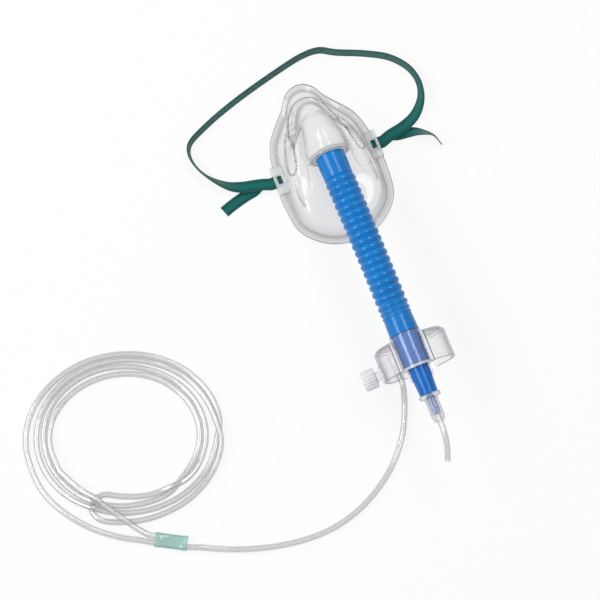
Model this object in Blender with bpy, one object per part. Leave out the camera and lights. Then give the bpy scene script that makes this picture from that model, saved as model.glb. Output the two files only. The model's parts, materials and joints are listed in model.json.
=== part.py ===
"""Adult air-entrainment oxygen mask with its head strap, corrugated hose, entrainment hood and tubing.

Everything lies as it would on a table: the mask rests on its rim, the hood on its round wall and the
tubing in a coil. +Z is up, +Y points from the hood to the nose of the mask, and the origin is at the
bottom centre of the box around all of it except the tubing. Lengths are in metres.
"""

import math

import bmesh
import bpy
from mathutils import Matrix, Vector

MM = 0.001

# Clearance between two pieces that touch or slip over each other
FIT_GAP = 0.3 * MM

# Mask shell
MASK_LENGTH = 158 * MM
MASK_WIDTH = 104 * MM
MASK_WALL = 1.5 * MM
MASK_FLANGE_WIDTH = 6.5 * MM
MASK_EDGE_ROLL = 1.4 * MM
MASK_NOSE_LIFT = 9 * MM
MASK_NOSE_LIFT_REACH = 34 * MM
MASK_CHIN_DEPTH = 24 * MM
MASK_CHEEK_DEPTH = 28 * MM
MASK_BEAK_LENGTH = 21 * MM
MASK_DOME_RISE = 4 * MM
MASK_COLUMNS = 56

# Port at the front of the mask, which the hose is pushed onto
PORT_SHARE_FROM_NOSE = 0.522
PORT_FROM_NOSE = PORT_SHARE_FROM_NOSE * MASK_LENGTH
PORT_HEIGHT = 46.5 * MM
PORT_FACE_RADIUS = 18 * MM
PORT_FACE_MARGIN = 2.5 * MM
PORT_SPIGOT_LENGTH = 14 * MM

# Embossed vent recess on each cheek, with a row of small holes
VENT_TOP_FROM_PORT = 0.215 * MASK_LENGTH
VENT_BOTTOM_FROM_PORT = -0.114 * MASK_LENGTH
VENT_TOP_FROM_MIDDLE = 0.2115 * MASK_WIDTH
VENT_BOTTOM_FROM_MIDDLE = 0.322 * MASK_WIDTH
VENT_WIDTH = 9 * MM
VENT_DEPTH = 2.0 * MM
VENT_HOLES = 5
VENT_HOLE_RADIUS = 1.3 * MM

# Strap lug on each side of the flange
LUG_FROM_PORT = 3.5 * MM
LUG_LENGTH = 27 * MM
LUG_WIDTH = 10.6 * MM
LUG_WALL = 1.6 * MM
LUG_HEIGHT = 9.6 * MM
LUG_OVERHANG = 1.2 * MM
LUG_BAR = 1.6 * MM
LUG_BAR_INSET = 5.2 * MM
LUG_WINDOW_WIDTH = 5 * MM

# Head strap
STRAP_WIDTH = 11 * MM
STRAP_THICKNESS = 0.9 * MM
STRAP_PATCH_LENGTH = 13 * MM
STRAP_PATCH_SKEW = 3 * MM

# Corrugated hose
HOSE_RINGS = 18
HOSE_PITCH = 6.95 * MM
HOSE_CREST_RADIUS = 14.4 * MM
HOSE_ROOT_RADIUS = 12.7 * MM
HOSE_WALL = 1.2 * MM
HOSE_PLAIN_LENGTH = 14 * MM
CUFF_RADIUS = 13.9 * MM
CUFF_BORE_RADIUS = 11.0 * MM
SPIGOT_RADIUS = CUFF_BORE_RADIUS - FIT_GAP
LOWER_CUFF_LENGTH = 17 * MM
UPPER_CUFF_LENGTH = 24 * MM
CUFF_BORE_DEPTH = 15 * MM
HOSE_SEGMENTS = 20

# Entrainment hood
HOOD_MOUTH_Y = -3 * MM
HOOD_RADIUS = 34.5 * MM
HOOD_LENGTH = 30 * MM
HOOD_WALL = 1.6 * MM
HOOD_CHAMFER = 3 * MM
HOOD_LEAN = math.radians(9)
SLEEVE_OFFSET = 25 * MM
SLEEVE_WALL = 1.8 * MM
SLEEVE_PROUD = 3 * MM
SLEEVE_FLOOR = 2 * MM
SLEEVE_RIB_THICKNESS = 3 * MM
SLEEVE_RIB_RISE = 8.5 * MM
SLEEVE_WINDOW_WIDTH = 14 * MM
SLEEVE_WINDOW_LENGTH = 16 * MM
GRIP_FIN_LENGTH = 11 * MM
GRIP_FIN_WIDTH = 8 * MM
GRIP_FIN_THICKNESS = 1.4 * MM
HOOD_SEGMENTS = 48

# Capped port on the hood's side
SIDE_PORT_FROM_MOUTH = 9 * MM
SIDE_PORT_RADIUS = 4.8 * MM
SIDE_PORT_BORE = 3.2 * MM
SIDE_PORT_LENGTH = 12.5 * MM
SIDE_BOSS_RADIUS = 8 * MM
SIDE_BOSS_RISE = 1.0 * MM
CAP_STANDOFF = 5.2 * MM
CAP_RADIUS = 9.5 * MM
CAP_LENGTH = 12.8 * MM
CAP_KNURLS = 20
CAP_KNURL_DEPTH = 0.7 * MM
CAP_CHAMFER = 1.4 * MM

# Diluter
BARREL_RADIUS = 12.5 * MM
BARREL_WALL = 1.6 * MM
LOWER_TUBE_RADIUS = 9.35 * MM
LOWER_TUBE_END_RADIUS = 8.5 * MM
LOWER_TUBE_LENGTH = 26 * MM
DILUTER_SPIGOT_LENGTH = 14 * MM
DILUTER_WINDOW_WIDTH = 9 * MM
DILUTER_WINDOW_LENGTH = 12 * MM
NOZZLE_RADIUS = 3.2 * MM
NOZZLE_LENGTH = 20 * MM
BARB_HEIGHT = 0.8 * MM
BARBS = 3
JET_RADIUS = 1.2 * MM
TURNED_SEGMENTS = 28

# Supply connector and tubing
CONNECTOR_FLANGE_RADIUS = 10.2 * MM
CONNECTOR_FLANGE_LENGTH = 3.5 * MM
CONNECTOR_RADIUS = 6.05 * MM
CONNECTOR_END_RADIUS = 5.4 * MM
CONNECTOR_LENGTH = 26 * MM
CONNECTOR_TIP_LENGTH = 3.2 * MM
TUBE_RADIUS = 2.85 * MM
TUBE_BORE_RADIUS = 1.9 * MM

# Clear connector on the end of the long tubing, which lies inside the hood
END_FITTING_RADIUS = 4.6 * MM
END_FITTING_LENGTH = 24 * MM
END_FITTING_X = -13 * MM
END_FITTING_TAIL_FROM_MOUTH = 1 * MM
TUBE_ENGAGEMENT = 6 * MM

# Coil of the long tubing
COIL_CENTRE = Vector((-267 * MM, 41 * MM, 0))
COIL_HALF_WIDTH = 77.5 * MM
COIL_HALF_DEPTH = 65.5 * MM
COIL_TURN = math.radians(-22)
COIL_BUNDLE_WIDTH = 21 * MM
COIL_BUNDLE_HEIGHT = 11.6 * MM
COIL_COLUMNS = 40
COIL_SECTION_POINTS = 10

# Green sleeve that holds both strands of the coil
TUBE_SLEEVE_CENTRE = Vector((-263 * MM, -62.5 * MM, 0))
TUBE_SLEEVE_TURN = math.radians(-29)
TUBE_SLEEVE_LENGTH = 30 * MM
TUBE_SLEEVE_WALL = 0.8 * MM

# Share of the length from the nose, and share of the half width, around the rim of the mask
RIM_OUTLINE = (
    (0.000, 0.000),
    (0.012, 0.150),
    (0.047, 0.290),
    (0.110, 0.425),
    (0.175, 0.610),
    (0.270, 0.825),
    (0.400, 0.940),
    (0.555, 1.000),
    (0.680, 0.995),
    (0.810, 0.930),
    (0.905, 0.715),
    (0.970, 0.400),
    (1.000, 0.000),
)

# Inset of the wall's shoulder at the cheeks, as a share of the mask's width, and at the chin, of its length
SHOULDER_INSET = (0.1635, 0.101)

# Half width as a share of the mask's, and reach past the port toward the nose and the chin as shares of
# its length, for two rings round the dome
DOME_RINGS = ((0.519, 0.278, 0.241), (0.433, 0.2215, 0.0886))

# Route of the head loop from the left lug to the right one, as (x, y from the port, height, twist)
HEAD_LOOP = (
    (-84, 11.5, 4.6, 14),
    (-96, 18.5, 4.4, 42),
    (-108, 31, 5.3, 68),
    (-115, 44, 5.5, 75),
    (-117, 57, 5.5, 75),
    (-112, 67.5, 5.5, 75),
    (-96, 76, 5.5, 75),
    (-73, 85, 5.5, 75),
    (-44, 94, 5.5, 75),
    (-7, 103.5, 5.5, 75),
    (16, 108, 5.5, 75),
    (33, 107.5, 5.5, 75),
    (48, 99.5, 5.5, 75),
    (72, 89, 5.5, 75),
    (92, 77.5, 5.5, 75),
    (105, 62.5, 5.5, 75),
    (109.5, 48, 5.5, 73),
    (108, 35, 5.2, 64),
    (102.5, 24.5, 4.5, 46),
    (93, 15.5, 4.1, 26),
    (80, 9.8, 4.6, 10),
)

# Free ends of the strap, as (x, y from the port, height)
LEFT_TAIL = ((-106.5, -13, 0.5), (-104, -4, 0.5), (-97, 0, 0.5), (-84, 3, 1.0), (-76, 4.5, 2.4))
RIGHT_TAIL = ((73, 5, 2.8), (83, 3.5, 1.2), (93, -0.5, 0.5), (103, -8, 0.5), (107, -19, 0.5))

# Route of the supply stub in millimetres from the middle of the hood's sleeve at its mouth
STUB_ROUTE = ((0, -55, -0.1), (-0.4, -63, -0.7), (-1.6, -72, -3), (-3.6, -80, -6.6), (-6, -87, -11.2))

# Routes of the long tubing in millimetres, chosen by hand
LEAD_ROUTE = (
    (-13.6, -9, 11),
    (-16, -18, 7.8),
    (-19.6, -28, 4.6),
    (-24.5, -39, 3.1),
    (-31, -50.5, 3),
    (-39, -61, 3),
    (-49, -71.5, 3),
    (-60, -80.5, 3),
    (-73, -89, 3),
    (-87, -96, 3),
    (-102, -101.5, 3),
    (-118, -105, 3),
    (-134, -106.3, 3),
    (-151, -105.6, 3),
    (-168, -103.2, 3),
    (-184, -99.6, 3),
    (-200, -94.8, 3),
    (-215, -89.2, 3),
    (-230, -82.4, 3.3),
    (-240, -77.4, 3.8),
)
LOWER_STRAND = (
    (-288, -51.4, 3.7),
    (-299, -45.4, 3.2),
    (-311, -37.4, 3),
    (-323, -27.6, 3),
    (-334, -16, 3),
    (-343.5, -3, 3),
    (-351.3, 11, 3),
    (-355.6, 24.5, 3),
    (-357.3, 36.5, 3),
    (-358, 47, 3),
    (-357.4, 57, 3),
)
UPPER_STRAND = (
    (-282.5, -46.5, 5),
    (-288.5, -39, 9),
    (-295, -29.6, 13.2),
    (-302, -19.5, 15.2),
    (-310.5, -7.5, 15.1),
    (-319, 5, 15.1),
    (-326.5, 17.5, 15.1),
)

CLEAR_PVC = ("clear soft plastic", (0.90, 0.93, 0.95, 1.0), 0.12, 0.30)
CLEAR_HARD = ("clear hard plastic", (0.90, 0.91, 0.94, 1.0), 0.08, 0.30)
CLEAR_TUBE = ("clear tubing", (0.90, 0.91, 0.91, 1.0), 0.15, 0.45)
BLUE_HOSE = ("blue hose plastic", (0.010, 0.130, 0.530, 1.0), 0.30, 1.0)
BLUE_HARD = ("blue moulded plastic", (0.008, 0.110, 0.500, 1.0), 0.25, 1.0)
GREEN_STRAP = ("green elastic", (0.010, 0.105, 0.082, 1.0), 0.85, 1.0)
GREEN_CLEAR = ("green clear plastic", (0.15, 0.55, 0.42, 1.0), 0.15, 0.60)


def make_material(finish):
    """Makes a Principled material from a name, a colour, a roughness and an alpha."""
    name, colour, roughness, alpha = finish
    known = bpy.data.materials.get(name)
    if known:
        return known
    material = bpy.data.materials.new(name)
    material.use_nodes = True
    shader = material.node_tree.nodes["Principled BSDF"]
    shader.inputs["Base Color"].default_value = colour
    shader.inputs["Roughness"].default_value = roughness
    shader.inputs["Metallic"].default_value = 0.0
    shader.inputs["Alpha"].default_value = alpha
    return material


def add_object(name, data, finish, parent):
    """Puts mesh or curve data into the scene as one named object."""
    obj = bpy.data.objects.new(name, data)
    bpy.context.scene.collection.objects.link(obj)
    if finish:
        data.materials.append(make_material(finish))
    obj.parent = parent
    return obj


def add_empty(name, parent=None):
    """Makes an empty that carries other objects."""
    empty = bpy.data.objects.new(name, None)
    bpy.context.scene.collection.objects.link(empty)
    empty.parent = parent
    return empty


def shade(mesh, angle_deg=35):
    """Shades a mesh smooth, with sharp edges where it turns further than the angle."""
    mesh.shade_smooth()
    mesh.set_sharp_from_angle(angle=math.radians(angle_deg))


def mesh_from_rings(name, rings, joined_ends):
    """Bridges closed rings of points, and either joins the last to the first or caps both ends."""
    bm = bmesh.new()
    rows = [[bm.verts.new(point) for point in ring] for ring in rings]
    pairs = list(zip(rows, rows[1:]))
    if joined_ends:
        pairs.append((rows[-1], rows[0]))
    for low, high in pairs:
        for k in range(len(low)):
            after = (k + 1) % len(low)
            bm.faces.new((low[k], low[after], high[after], high[k]))
    if not joined_ends:
        bm.faces.new(rows[0][::-1])
        bm.faces.new(rows[-1])
    bmesh.ops.recalc_face_normals(bm, faces=bm.faces)
    mesh = bpy.data.meshes.new(name)
    bm.to_mesh(mesh)
    bm.free()
    shade(mesh)
    return mesh


def turned(name, profile, finish, parent, segments=TURNED_SEGMENTS):
    """Turns a profile of (radius, distance along the axis) points round local Z.

    The profile starts at the top, runs down the outside and comes back up the inside. One that starts
    and ends on the axis makes a closed end.
    """
    mesh = bpy.data.meshes.new(name)
    points = [(radius, 0.0, along) for radius, along in profile]
    edges = [(k, k + 1) for k in range(len(points) - 1)]
    if profile[0][0] > 0:
        edges.append((len(points) - 1, 0))
    mesh.from_pydata(points, edges, [])
    obj = add_object(name, mesh, finish, parent)
    screw = obj.modifiers.new("Turn", "SCREW")
    screw.steps = screw.render_steps = segments
    screw.use_merge_vertices = True
    screw.merge_threshold = 0.00001
    screw.use_smooth_shade = True
    return obj


def along_y(obj, place):
    """Points a turned object's axis along +Y, with its own zero at the place."""
    obj.rotation_euler = (-math.pi / 2, 0, 0)
    obj.location = place
    return obj


def rod(name, radius, start, end, parent, segments=TURNED_SEGMENTS):
    """Makes a plain round bar between two places, for joining to or cutting from a piece."""
    run = Vector(end) - Vector(start)
    bm = bmesh.new()
    bmesh.ops.create_cone(
        bm, cap_ends=True, segments=segments, radius1=radius, radius2=radius, depth=run.length
    )
    turn = Vector((0, 0, 1)).rotation_difference(run).to_matrix().to_4x4()
    middle = Matrix.Translation((Vector(start) + Vector(end)) / 2)
    bmesh.ops.transform(bm, matrix=middle @ turn, verts=bm.verts)
    return helper(name, bm, parent)


def block(name, low, high, parent):
    """Makes a plain block between two corners, for joining to or cutting from a piece."""
    bm = bmesh.new()
    bmesh.ops.create_cube(bm, size=1)
    size = Vector(high) - Vector(low)
    bmesh.ops.scale(bm, vec=size, verts=bm.verts)
    bmesh.ops.translate(bm, vec=(Vector(low) + Vector(high)) / 2, verts=bm.verts)
    return helper(name, bm, parent)


def helper(name, bm, parent):
    """Stores a bmesh as a hidden helper object."""
    mesh = bpy.data.meshes.new(name)
    bm.to_mesh(mesh)
    bm.free()
    obj = add_object(name, mesh, None, parent)
    obj.hide_render = True
    obj.display_type = "WIRE"
    return obj


def combine(target, other, operation):
    """Adds a helper to a piece, or cuts it from the piece."""
    boolean = target.modifiers.new(other.name, "BOOLEAN")
    boolean.operation = operation
    boolean.solver = "MANIFOLD"
    boolean.object = other


def smooth_points(route, steps):
    """Reads points from one smooth curve through a route's points, each a tuple of numbers."""
    columns = len(route[0])
    padded = [
        tuple(2 * route[0][c] - route[1][c] for c in range(columns)),
        *route,
        tuple(2 * route[-1][c] - route[-2][c] for c in range(columns)),
    ]
    found = []
    for before, start, end, after in zip(padded, padded[1:], padded[2:], padded[3:]):
        for step in range(steps):
            t = step / steps
            found.append(
                tuple(
                    0.5
                    * (
                        2 * start[c]
                        + (end[c] - before[c]) * t
                        + (2 * before[c] - 5 * start[c] + 4 * end[c] - after[c]) * t**2
                        + (3 * start[c] - before[c] - 3 * end[c] + after[c]) * t**3
                    )
                    for c in range(columns)
                )
            )
    found.append(tuple(route[-1]))
    return found


def ease(share):
    """Rises smoothly from 0 to 1 as the share goes from 0 to 1, and stays level outside."""
    share = min(max(share, 0.0), 1.0)
    return share * share * (3 - 2 * share)


def mix(low, high, share):
    """The value that lies the given share of the way from low to high."""
    return low + (high - low) * share


class HoseLine:
    """Middle line of the hose: level at the hood, bending down evenly to the mask's port."""

    def __init__(self, start, end_height):
        self.start = start
        self.level = LOWER_CUFF_LENGTH + HOSE_PLAIN_LENGTH
        self.bend = HOSE_RINGS * HOSE_PITCH
        self.length = self.level + self.bend + UPPER_CUFF_LENGTH
        self.angle = (start.z - end_height) / (self.bend / 2 + UPPER_CUFF_LENGTH)

    def turn_at(self, along):
        """Downward angle of the line at a distance from the hood."""
        return self.angle * min(max((along - self.level) / self.bend, 0.0), 1.0)

    def point(self, along):
        """Place on the line at a distance from the hood, found in short steps."""
        steps = 40
        place = self.start.copy()
        for step in range(steps):
            turn = self.turn_at(along * (step + 0.5) / steps)
            place += Vector((0, math.cos(turn), -math.sin(turn))) * along / steps
        return place

    def ring(self, along, radius, segments=HOSE_SEGMENTS):
        """Circle of points round the line."""
        turn = self.turn_at(along)
        across = Vector((0, math.sin(turn), math.cos(turn)))
        centre = self.point(along)
        angles = [2 * math.pi * k / segments for k in range(segments)]
        return [
            centre + radius * (math.cos(a) * Vector((1, 0, 0)) + math.sin(a) * across)
            for a in angles
        ]


def hood_sleeve_place():
    """Centre of the hood's sleeve at the mouth, with the hood standing on its round wall."""
    height = HOOD_RADIUS + SLEEVE_OFFSET * math.cos(HOOD_LEAN)
    return Vector((0, HOOD_MOUTH_Y, height))


def hose_line():
    """The hose's middle line from the hood's sleeve to the mask's port."""
    start = hood_sleeve_place() + Vector((0, HOOD_LENGTH + SLEEVE_PROUD + FIT_GAP, 0))
    return HoseLine(start, PORT_HEIGHT)


def make_hose(line, parent):
    """The corrugated hose: a plain cuff at each end and round corrugations between them."""
    middle = (HOSE_CREST_RADIUS + HOSE_ROOT_RADIUS) / 2
    plain_start = LOWER_CUFF_LENGTH
    outer = [
        (0, CUFF_RADIUS - 0.3 * MM),
        (0.5 * MM, CUFF_RADIUS),
        (plain_start - 1 * MM, CUFF_RADIUS - 0.5 * MM),
        (plain_start + 0.6 * MM, HOSE_CREST_RADIUS),
        (plain_start + 0.20 * HOSE_PLAIN_LENGTH, HOSE_ROOT_RADIUS + 0.6 * MM),
        (plain_start + 0.35 * HOSE_PLAIN_LENGTH, HOSE_CREST_RADIUS - 0.2 * MM),
        (plain_start + 0.50 * HOSE_PLAIN_LENGTH, HOSE_ROOT_RADIUS + 0.5 * MM),
        (plain_start + 0.75 * HOSE_PLAIN_LENGTH, HOSE_CREST_RADIUS),
    ]
    for ring in range(HOSE_RINGS):
        start = line.level + ring * HOSE_PITCH
        outer += [
            (start, HOSE_ROOT_RADIUS),
            (start + 0.25 * HOSE_PITCH, middle + 0.25 * MM),
            (start + 0.50 * HOSE_PITCH, HOSE_CREST_RADIUS),
            (start + 0.75 * HOSE_PITCH, middle + 0.25 * MM),
        ]
    cuff_start = line.level + line.bend
    outer += [
        (cuff_start, HOSE_ROOT_RADIUS),
        (cuff_start + 0.3 * UPPER_CUFF_LENGTH, mix(HOSE_ROOT_RADIUS, CUFF_RADIUS, 0.4)),
        (line.length - 0.5 * MM, CUFF_RADIUS),
        (line.length, CUFF_RADIUS - 0.3 * MM),
    ]
    bore = HOSE_ROOT_RADIUS - HOSE_WALL
    inner = [(line.length, CUFF_BORE_RADIUS), (line.length - CUFF_BORE_DEPTH, CUFF_BORE_RADIUS)]
    inner.append((cuff_start, bore))
    inner_steps = 8
    for step in range(1, inner_steps):
        inner.append((cuff_start - line.bend * step / inner_steps, bore))
    inner += [(line.level, bore), (CUFF_BORE_DEPTH, CUFF_BORE_RADIUS), (0, CUFF_BORE_RADIUS)]
    rings = [line.ring(along, radius) for along, radius in outer + inner]
    mesh = mesh_from_rings("corrugated_hose", rings, joined_ends=True)
    return add_object("corrugated_hose", mesh, BLUE_HOSE, parent)


def rim_centre_y():
    """Y of the middle of the rim, from the port."""
    return PORT_FROM_NOSE - 0.58 * MASK_LENGTH


def rim_radius(angle):
    """Distance of the rim from its middle at an angle in plan."""
    half = []
    for share, half_width in smooth_points(RIM_OUTLINE, 6):
        x, y = half_width * MASK_WIDTH / 2, PORT_FROM_NOSE - share * MASK_LENGTH - rim_centre_y()
        half.append((math.atan2(y, x), math.hypot(x, y)))
    half.sort()
    mirrored = math.atan2(math.sin(angle), abs(math.cos(angle)))
    for (low_angle, low), (high_angle, high) in zip(half, half[1:]):
        if low_angle <= mirrored <= high_angle:
            return mix(low, high, (mirrored - low_angle) / (high_angle - low_angle))
    return half[-1][1] if mirrored > 0 else half[0][1]


def by_side(angle, nose, cheek, chin, chin_power=2):
    """A value that changes smoothly from the nose past the cheeks to the chin."""
    up = math.sin(angle)
    return mix(cheek, nose, up**2) if up >= 0 else mix(cheek, chin, (-up) ** chin_power)


def nose_lift(y):
    """Height of the rim's underside, which rises only under the bridge of the nose."""
    share = (y - PORT_FROM_NOSE + MASK_NOSE_LIFT_REACH) / MASK_NOSE_LIFT_REACH
    return MASK_NOSE_LIFT * ease(share) ** 1.5


class MaskForm:
    """Rings of points round the mask, each running from the nose past the left cheek and the chin."""

    def __init__(self, line):
        self.tilt = line.angle
        self.port = line.point(line.length) + self.port_axis() * -FIT_GAP
        self.angles = [math.pi / 2 + 2 * math.pi * k / MASK_COLUMNS for k in range(MASK_COLUMNS)]
        self.radii = [rim_radius(angle) for angle in self.angles]

    def port_axis(self):
        """Direction out of the port, toward the hose."""
        return Vector((0, -math.cos(self.tilt), math.sin(self.tilt)))

    def rim_ring(self, inset, height, lifted=1.0):
        """A ring set in from the rim, with its inset and height as (nose, cheek, chin)."""
        ring = []
        for angle, radius in zip(self.angles, self.radii):
            lift = lifted * nose_lift(rim_centre_y() + radius * math.sin(angle))
            reach = radius - by_side(angle, *inset)
            x, y = reach * math.cos(angle), rim_centre_y() + reach * math.sin(angle)
            ring.append(Vector((x, self.port.y + y, by_side(angle, *height) + lift)))
        return ring

    def dome_ring(self, half_width, nose, chin, height, chin_power=2):
        """An oval ring round the dome, from distances nose and chin past the port."""
        ring = []
        middle, half = (nose + chin) / 2, (nose - chin) / 2
        for angle in self.angles:
            x, y = half_width * math.cos(angle), middle + half * math.sin(angle)
            ring.append(Vector((x, self.port.y + y, by_side(angle, *height, chin_power))))
        return ring

    def port_ring(self, radius, out, chin_step=0.0):
        """A circle square to the port's axis, at a distance out from its face."""
        across = Vector((0, math.sin(self.tilt), math.cos(self.tilt)))
        centre = self.port + self.port_axis() * out
        ring = []
        for angle in self.angles:
            reach = radius + by_side(angle, 0, 0, chin_step)
            ring.append(centre + reach * (math.cos(angle) * Vector((1, 0, 0)) + math.sin(angle) * across))
        return ring

    def body(self):
        """Rings of the outer skin, from the foot of the wall to the edge of the port's face."""
        flange, beak = MASK_FLANGE_WIDTH, MASK_BEAK_LENGTH
        cheek, chin, dome = MASK_CHEEK_DEPTH, MASK_CHIN_DEPTH, MASK_DOME_RISE
        crest = self.port.z + PORT_FACE_RADIUS
        under = self.port.z - PORT_FACE_RADIUS
        shoulder = (SHOULDER_INSET[0] * MASK_WIDTH, SHOULDER_INSET[1] * MASK_LENGTH)
        rim = PORT_FACE_RADIUS + PORT_FACE_MARGIN
        wide, narrow = (
            (width * MASK_WIDTH / 2, nose * MASK_LENGTH, -below * MASK_LENGTH)
            for width, nose, below in DOME_RINGS
        )
        rows = [
            self.rim_ring(
                (flange + 1 * MM, flange + 1.4 * MM, flange + 1.2 * MM), (4 * MM, 5 * MM, 4.4 * MM)
            ),
            self.rim_ring(
                (beak, flange + 4 * MM, flange + 4 * MM), (0.27 * crest, 0.5 * cheek, 0.55 * chin), 0.4
            ),
            self.rim_ring((beak + 5 * MM, *shoulder), (0.62 * crest, 0.86 * cheek, 0.93 * chin), 0.0),
            self.dome_ring(*wide, (0.80 * crest, 1.08 * cheek, chin + MASK_WALL)),
            self.dome_ring(*narrow, (0.94 * crest, 1.45 * cheek, under - MASK_WALL)),
            self.dome_ring(rim, rim - MM / 2, -2 * PORT_FACE_MARGIN, (crest + dome, self.port.z, under), 1),
            self.port_ring(PORT_FACE_RADIUS, 0),
        ]
        columns = [smooth_points([tuple(point) for point in column], 2) for column in zip(*rows)]
        return [[Vector(point) for point in ring] for ring in zip(*columns)]


def vent_line(side, port):
    """Two ends of the vent recess on one cheek, in plan."""
    top = Vector((side * VENT_TOP_FROM_MIDDLE, port.y + VENT_TOP_FROM_PORT, 0))
    bottom = Vector((side * VENT_BOTTOM_FROM_MIDDLE, port.y + VENT_BOTTOM_FROM_PORT, 0))
    return top, bottom


def vent_sink(point, port):
    """How far the skin is pushed in at a place, which is full depth along the middle of a vent recess."""
    side = 1 if point.x > 0 else -1
    top, bottom = vent_line(side, port)
    flat = Vector((point.x, point.y, 0))
    run = bottom - top
    share = min(max((flat - top).dot(run) / run.length_squared, 0), 1)
    away = (flat - top - run * share).length
    return VENT_DEPTH * ease(1.6 - 1.6 * away / VENT_WIDTH)


def skin_normals(rings):
    """Unit normals of the skin at each point, pointing out of the mask."""
    rows, count = len(rings), len(rings[0])
    normals = []
    for r in range(rows):
        low, high = rings[max(r - 1, 0)], rings[min(r + 1, rows - 1)]
        row = []
        for k in range(count):
            around = rings[r][(k + 1) % count] - rings[r][k - 1]
            row.append(around.cross(high[k] - low[k]).normalized())
        normals.append(row)
    return normals


def make_mask(form, parent):
    """The mask: a flat flange, a thin shell with a dome and a port, and a strap lug on each side."""
    wall, flange = MASK_WALL, MASK_FLANGE_WIDTH
    edge = form.rim_ring((0, 0, 0), (wall, wall, wall))
    foot = form.rim_ring((flange, flange, flange), (wall, wall, wall))
    body = form.body()
    normals = skin_normals([foot, *body])[1:]
    for ring, row in zip(body[2:-5], normals[2:-5]):
        for point, normal in zip(ring, row):
            point -= normal * vent_sink(point, form.port)
    inner = [
        [point - normal * wall for point, normal in zip(ring, row)]
        for ring, row in zip(body[:-2], normals[:-2])
    ]
    drop = Vector((0, 0, wall))
    bore = SPIGOT_RADIUS - wall
    rings = [
        [point - drop for point in edge],
        [point + Vector((0, 0, MASK_EDGE_ROLL)) for point in edge],
        [mix(point, toward, 0.2) for point, toward in zip(edge, foot)],
        foot,
        *body,
        form.port_ring(SPIGOT_RADIUS, 0),
        form.port_ring(SPIGOT_RADIUS, PORT_SPIGOT_LENGTH),
        form.port_ring(bore, PORT_SPIGOT_LENGTH),
        form.port_ring(bore, -wall),
        form.port_ring(PORT_FACE_RADIUS - wall, -wall, chin_step=2 * wall),
        *inner[::-1],
        [point - drop for point in foot],
    ]
    mask = add_object("mask_shell", mesh_from_rings("mask_shell", rings, joined_ends=True), CLEAR_PVC, parent)
    for side, word in ((-1, "left"), (1, "right")):
        add_lug(mask, side, word, form.port, parent)
        cut_vent_holes(mask, side, word, form.port, parent)
    return mask


def lug_edge():
    """Distance of a lug's outer face from the middle of the mask."""
    angle = math.atan2(LUG_FROM_PORT - rim_centre_y(), MASK_WIDTH / 2)
    return rim_radius(angle) * math.cos(angle) + LUG_OVERHANG


def lug_bar_x():
    """Distance from the middle of the mask to the bar that the strap is looped round."""
    return lug_edge() - LUG_BAR_INSET


def lug_bar_z():
    """Height of the bar that the strap is looped round."""
    return (MASK_WALL + LUG_HEIGHT - LUG_WALL) / 2 + 0.4 * MM


def strap_loop_half_height():
    """Half the height between the middles of the two layers round the lug's bar."""
    return LUG_BAR / 2 + FIT_GAP + STRAP_THICKNESS / 2


def prism(name, side, outline, near, far, parent):
    """Makes a bar along Y from an outline of (distance from the middle, height), on one side."""
    bm = bmesh.new()
    face = bm.faces.new([bm.verts.new((side * x, near, z)) for x, z in outline])
    raised = bmesh.ops.extrude_face_region(bm, geom=[face])["geom"]
    moved = [item for item in raised if isinstance(item, bmesh.types.BMVert)]
    bmesh.ops.translate(bm, vec=(0, far - near, 0), verts=moved)
    bmesh.ops.recalc_face_normals(bm, faces=bm.faces)
    return helper(name, bm, parent)


def box_outline(inner, outer, low, high):
    """Outline of a plain rectangle, for a prism."""
    return ((inner, low), (outer, low), (outer, high), (inner, high))


def add_lug(mask, side, word, port, parent):
    """Joins one strap lug: an outer wall with a slot, a top with a window and a bar for the strap."""
    out, bar_x, bar_z = lug_edge(), lug_bar_x(), lug_bar_z()
    middle, half_slot = port.y + LUG_FROM_PORT, STRAP_WIDTH / 2 + 1 * MM
    near, far = middle - LUG_LENGTH / 2, middle + LUG_LENGTH / 2
    reach = strap_loop_half_height() + STRAP_THICKNESS / 2 + FIT_GAP
    foot = out - LUG_OVERHANG - MASK_FLANGE_WIDTH
    casing = (
        (foot, MASK_WALL / 2),
        (out, MASK_WALL / 2),
        (out, LUG_HEIGHT),
        (out - LUG_WIDTH, LUG_HEIGHT),
        (out - LUG_WIDTH, LUG_HEIGHT / 2),
    )
    hollow = box_outline(out - 2 * LUG_WIDTH, out - LUG_WALL, 0.0, LUG_HEIGHT - LUG_WALL)
    slot = box_outline(out - 2 * LUG_WALL, out + LUG_WALL, bar_z - reach, bar_z + reach)
    half_window = LUG_WINDOW_WIDTH / 2
    window = box_outline(bar_x - half_window, bar_x + half_window, bar_z, LUG_HEIGHT + LUG_WALL)
    half_bar = LUG_BAR / 2
    bar = box_outline(bar_x - half_bar, bar_x + half_bar, bar_z - half_bar, bar_z + half_bar)
    lug = prism(f"{word} lug casing", side, casing, near, far, parent)
    inside = (near + LUG_WALL, far - LUG_WALL)
    opening = (middle - half_slot, middle + half_slot)
    bearing = (near + LUG_WALL / 2, far - LUG_WALL / 2)
    combine(lug, prism(f"{word} lug hollow", side, hollow, *inside, parent), "DIFFERENCE")
    combine(lug, prism(f"{word} lug slot", side, slot, *opening, parent), "DIFFERENCE")
    combine(lug, prism(f"{word} lug window", side, window, *opening, parent), "DIFFERENCE")
    combine(lug, prism(f"{word} lug bar", side, bar, *bearing, parent), "UNION")
    combine(mask, lug, "UNION")


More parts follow.
